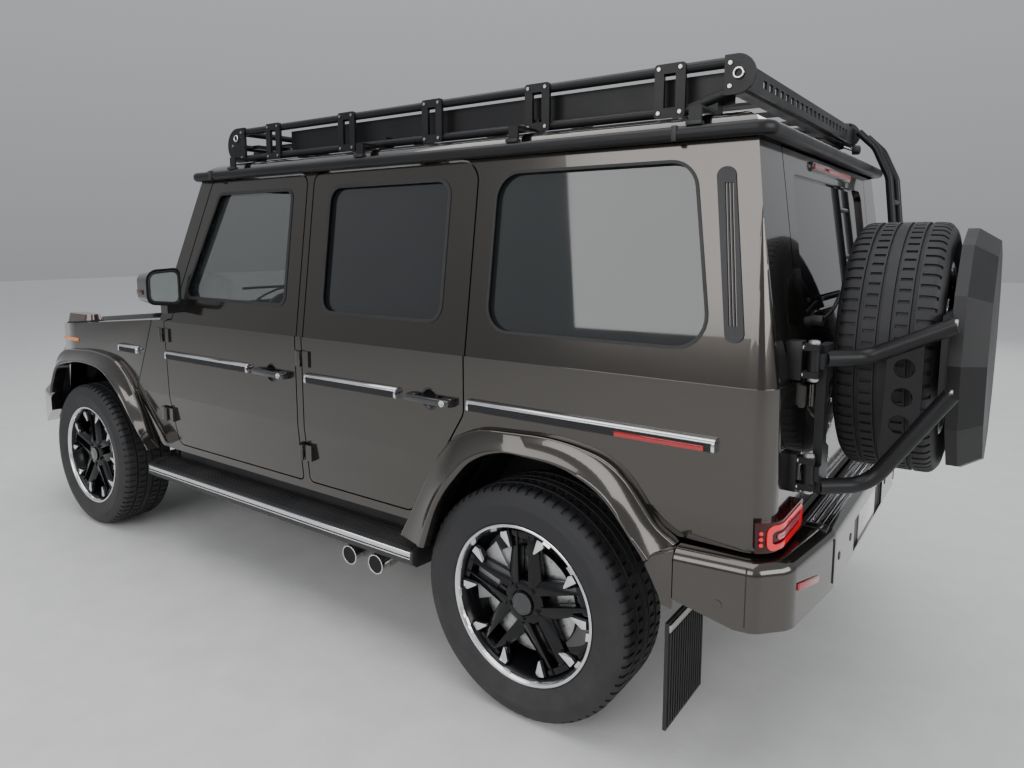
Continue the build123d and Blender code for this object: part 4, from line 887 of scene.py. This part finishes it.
# sections: distance outward and height from the base
stripBand = [(0, 0), (15, 1)]
for rib in range(3, 28, 5):
    stripBand += [(19, rib), (19, rib + 3), (16, rib + 4)]
stripBand += [(16, 26), (0, 26)]
stripEdge = ((0, 26), (20, 26), (22, 29), (17, 36), (8, 40), (0, 40))
stripCap = ((0, -1), (17, 0), (22, 6), (22, 28), (0, 28))
stripRuns = (
    # name, front, rear, body on the left
    ("wingStrip", 1078, 894, "body"),
    ("doorStripFront", 632, -19, "door_front_left"),
    ("doorStripRear", -396, -900, "door_rear_left"),
    ("quarterStrip", -1224, -2069, "body"),
)
for name, front, rear, body in stripRuns:
    for part, section, start, end, finish, rounding in (
            ("", stripBand, front - 8, rear + 8, "plastic", 0),
            ("Edge", stripEdge, front, rear, "bright", 1.5),
            ("Cap", stripCap, front, front - 10, "bright", 2), ("Cap", stripCap, rear, rear + 10, "bright", 2)):
        pair(finished(sectionAlong(name + part, section, start, end, stripBase), finish, rounding, body=body))
pair(finished(slab("sideReflector", (-2039, 938, 1009), (-1772, 942.5, 1024)), "redLens", 1.5))
# amber marker above the front flare
pair(finished(slab("sideMarker", (1548, 905, 1017), (1716, 928, 1035)), "amber", 4))

# ---- rubber frames round the side windows, seated in the cut of each opening
frameLines = {"out": 2.5, "back": 13, "slack": 0.8, "seat": 3}
paneFrames = (
    # name, corners (station, height), corner radius, width, body on the left
    ("frontFrame", ((-240, 1300), (-240, 1785), (282, 1785), (517, 1300)), 45, 25, "door_front_left"),
    ("rearFrame", ((-458, 1285), (-458, 1785), (-1085, 1785), (-1085, 1285)), 65, 25, "door_rear_left"),
    ("quarterFrame", ((-1273, 1272), (-1273, 1792), (-1953, 1792), (-2037, 1272)), 90, 17, "body"),
)
lean = atan(bodyLines["leanSlope"])
leaning = Vector((0, cos(lean), sin(lean)))
for name, corners, radius, width, body in paneFrames:
    outline = rounded(corners, radius)
    piece = drawn(name, [mm(x, skinY(z) + frameLines["out"], z) for x, z in outline])
    bpy.ops.mesh.inset(thickness=frameLines["slack"] / 1000)
    bpy.ops.mesh.select_all(action="INVERT")
    bpy.ops.mesh.delete(type="FACE")
    everything()
    bpy.ops.mesh.inset(thickness=width * 0.55 / 1000)
    bpy.ops.mesh.inset(thickness=width * 0.45 / 1000)
    bpy.ops.transform.translate(value=leaning * (frameLines["seat"] - frameLines["out"] - frameLines["back"]) / 1000)
    bpy.ops.mesh.delete(type="FACE")
    everything()
    push(leaning * -frameLines["seat"] / 1000)
    pair(finished(piece, "rubber", body=body, smooth=50))

# ---- door handles: black bar cover with a pivot block, round recess cup, lock with a bright face
handleZ = 1022
for name, x, body in (("handleFront", -150, "door_front_left"), ("handleRear", -1030, "door_rear_left")):
    made = [knob(name + "Cup", (x - 15, 906, handleZ), (x - 15, 921.5, handleZ), 39, 4, -12,
                 "gloss", 0.8, 40, body)]
    grip = slab(name + "Grip", (x - 128, 935.5, handleZ - 14), (x + 78, 952, handleZ + 14))
    facing(outward)
    bpy.ops.transform.resize(value=(0.97, 1, 0.7))
    made.append(finished(grip, "gloss", 3.5, 3, body))
    for foot, low, high in (("Rear", x - 128, x - 82), ("Front", x + 37, x + 78)):
        block = slab(name + foot, (low, 919, handleZ - 15), (high, 937, handleZ + 15))
        made.append(finished(block, "gloss", 3, body=body))
    made.append(knob(name + "Lock", (x - 100, 950, handleZ), (x - 100, 956.5, handleZ), 11.5, 3, -1.5,
                     "bright", body=body))
    for piece in made:
        pair(piece)

# ---- running boards: bright strips on the outer face and a ribbed tread with an end cap
boardLines = {"front": 826, "rear": -976, "ribs": 7, "pitch": 13, "slope": 23 / 105}
for name, section in (("boardStripWide", ((950.5, 433), (953.5, 434), (953.5, 449), (950, 451))),
                      ("boardStripThin", ((951.8, 424), (954, 424), (954, 428.5), (951.5, 428.5)))):
    strip = sectionAlong(name, section, boardLines["front"] - 12, boardLines["rear"] + 6)
    pair(finished(strip, "bright", 0.6))
ribSection = ((0, -1), (9, -3), (8, 2.5), (1, 4.5))
pad = []
for y in range(854, 854 + boardLines["ribs"] * boardLines["pitch"], boardLines["pitch"]):
    base = (y, 477 - (y - 845) * boardLines["slope"])
    pad.append(sectionAlong("boardRib", ribSection, boardLines["front"] - 20, boardLines["rear"] + 14, base))
pair(finished(joined("boardTread", pad), "rubber"))
boardEnd = ((950, 456), (953, 410), (930, 389), (790, 381), (769, 400), (769, 471), (845, 480))
for end, inward in ((boardLines["front"], 4), (boardLines["rear"], -4)):
    pair(finished(sectionAlong("boardEnd", boardEnd, end, end + inward), "plastic", 1.5))

# ---- tail lamps: dark surround on the corner, a red loop, a pale bar inside and a row of side lamps
tailLines = {"innerY": 655, "cornerX": -2140, "cornerY": 845, "radius": 93,
             "studs": (778, 794, 810), "studAt": 278}


def lampPlace(along, z, proud):
    # a place on the lamp's face, measured outward from its inner end and round the corner
    flat = tailLines["cornerY"] - tailLines["innerY"]
    reach = tailLines["radius"] + proud
    if along < flat:
        return tailLines["cornerX"] - reach, tailLines["innerY"] + along, z
    turn = (along - flat) / tailLines["radius"]
    return tailLines["cornerX"] - reach * cos(turn), tailLines["cornerY"] + reach * sin(turn), z


def lampLoop(name, low, high, thick, proud, finish):
    # a raised band round a rounded outline, it follows the corner
    wide, tall = high[0] - low[0], high[1] - low[1]
    outer = rounded((low, (high[0], low[1]), high, (low[0], high[1])), min(20, tall / 2.2))
    outer = spaced([Vector(point) for point in outer + outer[:1]], 90)
    middle = (Vector(low) + Vector(high)) / 2
    share = Vector((1 - 2 * thick / wide, 1 - 2 * thick / tall))
    inner = [middle + (point - middle) * share for point in outer]
    rows = [[mm(*lampPlace(along, z, lift)) for along, z in ring]
            for ring, lift in ((outer, -2), (outer, proud), (inner, proud), (inner, -2))]
    pair(finished(skinned(name, rows), finish, smooth=30))


lampLoop("lampLoop", (10, 761), (262, 829), 15, 2.5, "redGlow")
lampLoop("lampBar", (36, 787), (226, 803), 7, 2, "redPale")
for z in tailLines["studs"]:
    start, end = (lampPlace(tailLines["studAt"], z, proud) for proud in (-2, 2))
    pair(knob("lampStud", start, end, 5.5, 1.5, 1, "redGlow", 0.3, 16))

# ---- rear bumper: step pad with bright ribs, corner pads and the blank plate
stepLines = {"half": 555, "front": -2226, "ribs": 4, "pitch": 16, "slope": 18 / 66}
pad = []
for rib in range(stepLines["ribs"]):
    x = stepLines["front"] - rib * stepLines["pitch"]
    z = 730.5 + (2221 + x) * stepLines["slope"]
    pad.append(slab("stepRib", (x - 9, -stepLines["half"], z - 3), (x, stepLines["half"], z + 4)))
finished(joined("stepRibs", pad), "bright", 1.2)
for low, high in ((562, 606), (-606, -562)):
    panel("stepCorner", (-2290, low, 716), (-2222, high, 737), up, 6, -2, "plastic", 2)
# a flat board for the plate, left blank, in its black frame
panel("plateFrame", (-2304, -267, 538), (-2297, 267, 662), -fore, 12, -4, "plastic", 2)
panel("blankPlate", (-2304, -152, 545), (-2301, 152, 655), -fore, 4, -0.8, "plateWhite", 0.6)
print("body trim made")

# ---- mirrors: a bezel and the glass on the rear face, a lamp strip on the front
mirrorCorners = ((932, 1279), (1078, 1294), (1078, 1430), (932, 1438))
glassCorners = ((941, 1288), (1069, 1303), (1069, 1421), (941, 1429))
for name, corners, radii, x, thick, border, depth, finish, rounding in (
        ("mirrorBezel", mirrorCorners, (18, 34, 46, 26), 480.2, 4, 7, -3, "plastic", 0.8),
        ("mirrorGlass", glassCorners, 24, 479.2, 1.2, 2, 0.4, "mirrorGlass", 0)):
    points = [mm(x, y, z) for y, z in rounded(corners, radii)]
    pair(plaque(name, points, -fore, thick, border, depth, finish, rounding, "door_front_left"))
pair(panel("mirrorLamp", (520, 1080, 1330), (566, 1087, 1352), outward, 3, 0.8, "amberDark", 2,
           body="door_front_left"))

# ---- rear: high brake lamp, wiper, seams, sensors and reflectors of the bumper
tail, wiperX = tailX(1803), tailX(1325)
bladeX = tailX(1388)
panel("highBrakeLamp", (tail - 13, -280, 1794), (tail + 8, 280, 1812), -fore, 4, -1.5,
      "redLens", 3, body="tailgate")
panel("highLampBase", (tail - 8, -292, 1788), (tail + 10, 292, 1818), -fore, 6, 1,
      "gloss", 3, body="tailgate")
knob("wiperHub", (wiperX + 4, 430, 1325), (wiperX - 26, 430, 1325), 17, 4, -2, "plastic", 2, body="tailgate")
pipe("wiperArm", ((wiperX - 20, 430, 1325), (tailX(1335) - 26, 300, 1345), (tailX(1385) - 16, 110, 1385)), 6,
     "plastic", 1, "tailgate")
panel("wiperBlade", (bladeX - 12, -120, 1378), (bladeX - 2, 330, 1392), -fore, 3, 1, "rubber", body="tailgate")


def bumperSide(x):
    return 960 + (x + 2195) * 24 / 215


seam = slab("bumperSeam", (-2174, 954, 562), (-2171, bumperSide(-2172) + 0.7, 722))
bpy.ops.mesh.subdivide(number_cuts=2)
pair(finished(seam, "rubber", 0.4))
side = bumperSide(-2101)
pair(knob("sideSensor", (-2101, side - 3, 608), (-2101, side + 1.6, 608), 13, 3, -0.8, "paint"))
for y in (335, 505):
    pair(knob("rearSensor", (-2304, y, 628), (-2311.6, y, 628), 13, 3, -0.8, "plastic"))
corners = [mm(-2310.5 + (y - 560) / 8, y, z) for y, z in ((700, 618), (850, 648), (850, 668), (700, 638))]
pair(plaque("bumperReflector", corners, -fore, 4, 3, 1, "redLens", 0.8))
# the upright joint beside the middle part
pair(finished(slab("bumperJoint", (-2311, 575, 568), (-2305, 578, 704)), "rubber", 0.4))

# ---- carrier hardware: pin heads, bracket bolts and the wheel plate's screws
hingeY = 745
for z in (1249, 939):
    for low, high in ((z + 45, z + 54), (z - 45, z - 54)):
        knob("pinHead", (-2262, hingeY, low), (-2262, hingeY, high), 15, 4, 2, "casting", 1.5)
    panel("hingePlate", (-2236, hingeY - 23, z - 52), (tailX(z) + 2, hingeY + 23, z + 52), -fore, 6, 0.5, "satin", 2)
    for y, lift in ((-14, 37), (14, 37), (-14, -37), (14, -37)):
        knob("plateScrew", (-2236, hingeY + y, z + lift), (-2240, hingeY + y, z + lift), 6, 2, -1, "bright", corners=6)
for y, z in ((80, 1165), (80, 1360), (585, 1170), (585, 1355)):
    knob("carrierBolt", (-2574, y, z), (-2566, y, z), 11, 3, 1, "steel", 0.8, 6, "spare_carrier")
for z in (905, 960, 1060, 1130, 1235):
    knob("postBolt", (-2289, 652, z), (-2294, 652, z), 7, 2, 0.8, "steel", 0.6, 6, "spare_carrier")

# ---- rack hardware: bolts on the outer plates, eyelets, the clamp knob and the roof edge's joint
rackZ = 1999
boltPlaces = [(x + dx, rackZ + dz) for x in (4, -462, -914, -1370, -1829) for dz in (62, -62) for dx in (-33, 33)]
boltPlaces += [(-2006, 2052), (-2006, 1990), (228, 2054), (228, 1944), (292, 1999)]
bolts = []
for x, z in boltPlaces:
    bolts.append(drum("rackBolt", mm(x, 739, z), mm(x, 744.5, z), 6.2, 6))
    framed(outward, 1.5, 0.8)
pair(finished(joined("rackBolts", bolts), "steel"))
twelfth = pi / 12
for x, z in ((-2030, 2022), (262, 2030)):
    ring = [(x + 13 * cos(step * twelfth), 746, z + 13 * sin(step * twelfth)) for step in range(25)]
    pair(pipe("rackEye", ring, 3, "bright"))
knob("rackKnob", (-2052, -713, 1956), (-2080, -713, 1956), 20, 5, 3, "plastic", 3, 12)
pipe("rackKnobStem", ((-2054, -713, 1956), (-2010, -718, 1975)), 6, "steel")
for x in (-1897, 300):
    pair(panel("gutterJoint", (x - 7, 846, 1838.5), (x + 7, 863.5, 1879.5), outward, 2, 0.5, "plastic", 3))
for x in (-1950, -1350, -650, 150):
    pair(panel("footPad", (x - 22, 834, 1878), (x + 22, 858, 1888), up, 4, 1, "rubber", 2))

# ---- exhaust outlets: rolled lips round dark bores
for x in (-608, -753):
    tip = drum("tipLip", mm(x, 878, 337.7), mm(x, 919, 335.8), 39.5, 40)
    framed(outward, 5, -2.5)
    pair(finished(tip, "bright", 1.6, 3))
    pair(knob("tipBore", (x, 912, 336.2), (x, 918.4, 335.9), 34.4, 2, -0.3, "soot"))


def bars(name, count, low, high, pitch, finish, rounding=0):
    # a row of like blocks across the car
    blocks = []
    for index in range(count):
        shift = index * pitch
        blocks.append(slab(name, (low[0], low[1] + shift, low[2]), (high[0], high[1] + shift, high[2])))
    return finished(joined(name, blocks), finish, rounding)


# ---- mud flaps: upright ribs on the rear face and the fixing strip above
pair(bars("flapRibs", 15, (-1968.5, 701, 188), (-1963.5, 708, 470), 17.5, "rubber", 1.2))
pair(panel("flapStrip", (-1969, 694, 476), (-1963.5, 958, 498), -fore, 4, 1, "steel", 1))
print("rear and roof details made")

# ---- front: headlamp rings and bowls, grille slats, fog lamps, pods and windscreen wipers
lensX, lampY, lampZ = lampLines["lensX"], lampLines["y"], lampLines["z"]
ringSection = ((104, 0), (116, 0), (117, 4), (113, 7), (106, 6))
piece = drawn("lampRing", [mm(lensX - 5 + dx, lampY, lampZ + radius) for radius, dx in ringSection])
bpy.ops.mesh.spin(steps=64, angle=radians(360), center=mm(0, lampY, lampZ), axis=fore)
welded()
pair(finished(piece, "bright"))
for radius, proud, finish in ((46, 2.5, "gloss"), (30, 4, "bright")):
    ends = [(lensX + shift, lampY, lampZ) for shift in (-2, proud)]
    pair(knob("lampBowl", *ends, radius, 5, -1.5, finish, 1, 48))
for index in range(12):
    a = radians(index * 30 + 15)
    y, z = lampY + 76 * cos(a), lampZ + 76 * sin(a)
    pair(knob("lampCell", (lensX - 2, y, z), (lensX + 2, y, z), 13, 3, -0.8, "casting", 0.8, 20))
for z in (815, 880, 945):
    panel("grilleSlat", (2084, -438, z - 9), (2098, 438, z + 9), fore, 4, 2, "bright", 3)
bars("grilleMesh", 40, (2049, -430, 765), (2053, -426, 995), 22, "plastic")
pair(knob("fogLens", (2236, 640, 590), (2252, 640, 590), 39, 6, -3, "lampLens", 2, 40))
pair(knob("fogCore", (2240, 640, 590), (2254, 640, 590), 20, 4, -2, "bright", 1.5, 32))
bars("intakeMesh", 34, (2262, -412, 517), (2266, -407, 558), 25, "plastic")
podOutline = rounded(((1546, 758), (1834, 758), (1834, 872), (1546, 872)), 56)
pair(plaque("podBase", [mm(x, y, bonnetZ(x) + 1) for x, y in podOutline], up, 6, 3, 1, "rubber", 1.5))
# the station of the windscreen's foot at the wiper pivots
foot = 705 - 25 / 710 * 301
for side, y in (("Left", 420), ("Right", -240)):
    knob("wiperPivot" + side, (foot + 4, y, 1196), (foot + 12, y, 1222), 15, 4, -1.5, "plastic", 1.5)
    pipe("screenArm" + side, ((foot + 12, y, 1222), (665, y - 120, 1296), (652, y - 260, 1322)), 6, "plastic", 1)
    panel("screenBlade" + side, (650, y - 520, 1313), (660, y + 60, 1326), fore, 3, 1, "rubber")
print("front made")

# ---- cabin: five padded seats, dashboard, steering wheel and door cards
seatLines = {"floor": 602, "base": 770, "cushion": 905, "backTop": 1400, "headTop": 1582, "edge": 26, "crown": 9}


def cushionPiece(name, low, high, front, border, strips, crown=seatLines["crown"]):
    # a soft block with a sewn border and a row of crowned channels on its front face
    made = [slab(name, low, high)]
    bpy.ops.mesh.bevel(offset=seatLines["edge"] / 1000, segments=4, affect="EDGES")
    everything()
    facing(front, 0.99)
    bpy.ops.mesh.inset(thickness=border / 1000)
    bpy.ops.mesh.inset(thickness=0.004)
    bpy.ops.transform.translate(value=front * -0.006)
    edge = border + seatLines["edge"]
    step = (high[1] - low[1] - 2 * edge) / strips
    axis = 0 if front.x else 2
    for index in range(strips):
        a, b = [place + edge for place in low], [place - edge for place in high]
        a[1] += index * step + 0.6
        b[1] = a[1] + step - 1.2
        a[axis], b[axis] = high[axis] - 18, high[axis] + crown - 6
        made.append(slab(name + "Strip", a, b))
        bpy.ops.mesh.bevel(offset=min(0.011, step / 2500), segments=4, affect="EDGES")
    piece = finished(joined(name, made), "leather", smooth=50)
    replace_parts(piece, "seats")


for name, x, y, width, strips in (
        ("driverSeat", -20, 500, 500, 5), ("passengerSeat", -20, -500, 500, 5),
        ("rearSeatLeft", -780, 390, 380, 4), ("rearSeatMiddle", -780, 0, 380, 4),
        ("rearSeatRight", -780, -390, 380, 4)):
    low, high = y - width / 2, y + width / 2
    seat, back = seatLines["base"] - 6, seatLines["cushion"] - 6
    base = panel(name + "Base", (x - 225, low + 30, seatLines["floor"]), (x + 225, high - 30, seatLines["base"]),
                 fore, 30, -12, "plastic", 8)
    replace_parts(base, "seats")
    cushionPiece(name + "Cushion", (x - 250, low, seat), (x + 250, high, seatLines["cushion"] - 4), up, 52, strips)
    cushionPiece(name + "Back", (x - 330, low, back), (x - 214, high, seatLines["backTop"]), fore, 48, strips)
    cushionPiece(name + "Head", (x - 312, y - 130, 1418), (x - 232, y + 130, seatLines["headTop"] - 4), fore, 18, 3, 7)
    for side in (-55, 55):
        rod = pipe(name + "Rod", ((x - 270, y + side, 1390), (x - 270, y + side, 1425)), 6, "bright")
        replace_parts(rod, "seats")
print("seats made")

dash = slab("dashPad", (432, -780, 965), (650, 780, 1178))
bpy.ops.mesh.bevel(offset=0.03, segments=4, affect="EDGES")
facing(-fore, 0.95)
bpy.ops.mesh.inset(thickness=0.03)
bpy.ops.transform.translate(value=fore * 0.012)
dashPieces = [finished(dash, "leather")]
for name, low, high, finish in (
        ("clusterHood", (424, 240, 1120), (500, 560, 1188), "leather"),
        ("dashScreen", (430, -130, 1060), (446, 170, 1165), "gloss"),
        ("gloveBox", (430, -680, 1000), (446, -260, 1110), "plastic"),
        ("centreStack", (424, -110, 965), (450, 150, 1045), "gloss")):
    dashPieces.append(panel(name, low, high, -fore, 8, -3, finish, 5, 3))
for y in (-740, -200, 215, 740):
    dashPieces.append(knob("airVent", (446, y, 1140), (428, y, 1140), 34, 5, -4, "bright", 1.5, 36))
wheelAxis = Vector((-1, 0, 0.45)).normalized()
wheelCentre = Vector((330, 400, 1130))


def onWheel(turn, radius, proud):
    # a place on the steering wheel
    a = radians(turn)
    across = outward * cos(a) + wheelAxis.cross(outward) * sin(a)
    return wheelCentre + wheelAxis * proud + radius * across


dashPieces.append(pipe("steeringRing", [onWheel(step * 7.5, 174, 14) for step in range(49)], 14.5, "leather"))
for turn in (0, 180, 270):
    dashPieces.append(pipe("steeringSpoke", (onWheel(0, 0, 4), onWheel(turn, 168, 10)), 11, "plastic"))
dashPieces.append(knob("steeringHub", onWheel(0, 0, -6), onWheel(0, 0, 26), 52, 8, -2, "leather", 6, 36))
dashPieces.append(knob("steeringColumn", (440, 400, 1080), onWheel(0, 0, -4), 30, 5, 1, "plastic", 2))
for piece in dashPieces:
    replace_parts(piece, "dashboard")
cards = (
    # name, front, rear, low, high, armrest front, armrest rear, body
    ("cardFront", 560, -300, 660, 1150, 200, -200, "door_front_left"),
    ("cardRear", -420, -1000, 780, 1150, -520, -860, "door_rear_left"),
)
for name, front, rear, low, high, armFront, armRear, body in cards:
    speaker = (front + rear) / 2 + 120
    pair(panel(name, (rear, 850, low), (front, 861, high), -outward, 40, -3, "leather", 3, body=body))
    pair(panel(name + "Arm", (armRear, 806, 955), (armFront, 854, 990), up, 8, -2, "leather", 8, 3, body))
    pair(panel(name + "Pull", (armFront - 90, 845, 1040), (armFront - 10, 853, 1066), -outward, 5, -3,
               "bright", 2, body=body))
    pair(knob(name + "Speaker", (speaker, 853, low + 110), (speaker, 846, low + 110), 70, 8, -2,
              "plastic", 1.5, 40, body))
print("cabin made")

# ---- engine dress, springs and dampers
engineLow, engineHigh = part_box("engine_block")
blockTop = engineHigh.z * 1000
centreX = (engineLow.x + engineHigh.x) * 500 - midX


def onEngine(x, y, z):
    # a place measured from the middle of the engine's top
    return centreX + x, y, blockTop + z


for name, y, half, tall, finish in (
        ("camCoverLeft", 190, 95, 26, "casting"), ("camCoverRight", -190, 95, 26, "casting"),
        ("inletCover", 0, 85, 34, "plastic")):
    panel(name, onEngine(-250, y - half, -3), onEngine(250, y + half, tall), up, 22, 5, finish, 8, 3)
for y in (190, -190):
    for x in (-180, -60, 60, 180):
        knob("coilPack", onEngine(x, y, 26), onEngine(x, y, 40), 19, 4, 2, "plastic", 2, 20)
knob("oilCap", onEngine(205, 120, 20), onEngine(205, 120, 44), 30, 6, 3, "plastic", 3, 10)
pipe("airDuct", (onEngine(240, 60, 18), onEngine(330, 120, 6), onEngine(380, 300, -30)), 30, "rubber", 2)
springLines = {"turns": 6, "steps": 16, "radius": 50, "wire": 7}
# station, distance to the side, foot, top, cup top
for x, y, foot, top, cup in ((1445, 545, 440, 640, 930), (-1465, 540, 436, 585, 600)):
    coil = []
    count, radius = springLines["turns"] * springLines["steps"], springLines["radius"]
    for step in range(count + 1):
        a = step * 2 * pi / springLines["steps"]
        coil.append((x + radius * cos(a), y + radius * sin(a), foot + (top - foot) * step / count))
    pair(pipe("coilSpring", coil, springLines["wire"], "casting", resolution=4))
    pair(knob("springCup", (x, y, cup - 12), (x, y, top - 6), 62, 8, -6, "chassis", 3, 36))
for x in (1330, -1560):
    pair(pipe("damperRod", ((x, 500, 420), (x - 30, 492, 585)), 10, "bright"))
    pair(pipe("damperBody", ((x, 500, 372), (x - 18, 496, 480)), 24, "chassis"))
print("engine and springs made")

# ---- floor, light and camera
bpy.ops.object.select_all(action="DESELECT")
bpy.ops.mesh.primitive_plane_add(size=60, location=(0, 0, 0))
floor = bpy.context.object
floor.name = "studio_floor"
finishes["floor"] = surface("paleFloor", (0.62, 0.62, 0.61), 0.55, 0.7, grain=(60.0, 0.15, 0.002), tone=0.04)
dress(floor, "floor")

world = bpy.data.worlds.new("studio")
bpy.context.scene.world = world
world.use_nodes = True
sky = world.node_tree
background = sky.nodes["Background"].inputs
background["Strength"].default_value = 0.62
# a pale ceiling that darkens towards the ground, so that upright panels read
skyward = addNode(sky, "SeparateXYZ", Vector=addNode(sky, "TexCoord").outputs["Generated"]).outputs["Z"]
level = ramp(sky, skyward, -0.15, 0.75)
wire(sky, background["Color"], mixColour(sky, level, (0.42, 0.43, 0.44), (1.0, 1.03, 1.08)))

lights = (
    # name, place, aim, size, power
    ("overhead", (0, 1.5, 7.5), (0, 0, 0.8), (9, 6), 360),
    ("leftSky", (-1.0, 9.0, 4.5), (-0.3, 0, 1.2), (10, 4), 420),
    ("rearFill", (-9.0, 1.0, 3.5), (0, 0, 1.0), (6, 3), 260),
    ("rightFill", (2.0, -9.0, 4.0), (0, 0, 1.0), (8, 4), 220),
)
for name, place, aim, size, power in lights:
    data = bpy.data.lights.new(name, "AREA")
    data.shape = "RECTANGLE"
    data.size, data.size_y = size
    data.energy = power
    lamp = added(name, data)
    lamp.location = place
    lamp.rotation_euler = (Vector(aim) - Vector(place)).to_track_quat("-Z", "Y").to_euler()

view = {"place": (-2.553, 2.773, 1.569), "yaw": -54.408, "pitch": 7.283, "roll": -0.058}
cameraData = bpy.data.cameras.new("photoCamera")
for label, value in {"lens": 25.474, "sensor_width": 36, "shift_x": 0.0034, "shift_y": -0.0496}.items():
    setattr(cameraData, label, value)
camera = added("photoCamera", cameraData)
turned = Matrix.Translation(view["place"])
for angle, axis in ((view["yaw"], "Z"), (-90, "Z"), (90 - view["pitch"], "X"), (view["roll"], "Z")):
    turned = turned @ Matrix.Rotation(radians(angle), 4, axis)
camera.matrix_world = turned
bpy.context.scene.camera = camera
print("stage, lights and camera set")
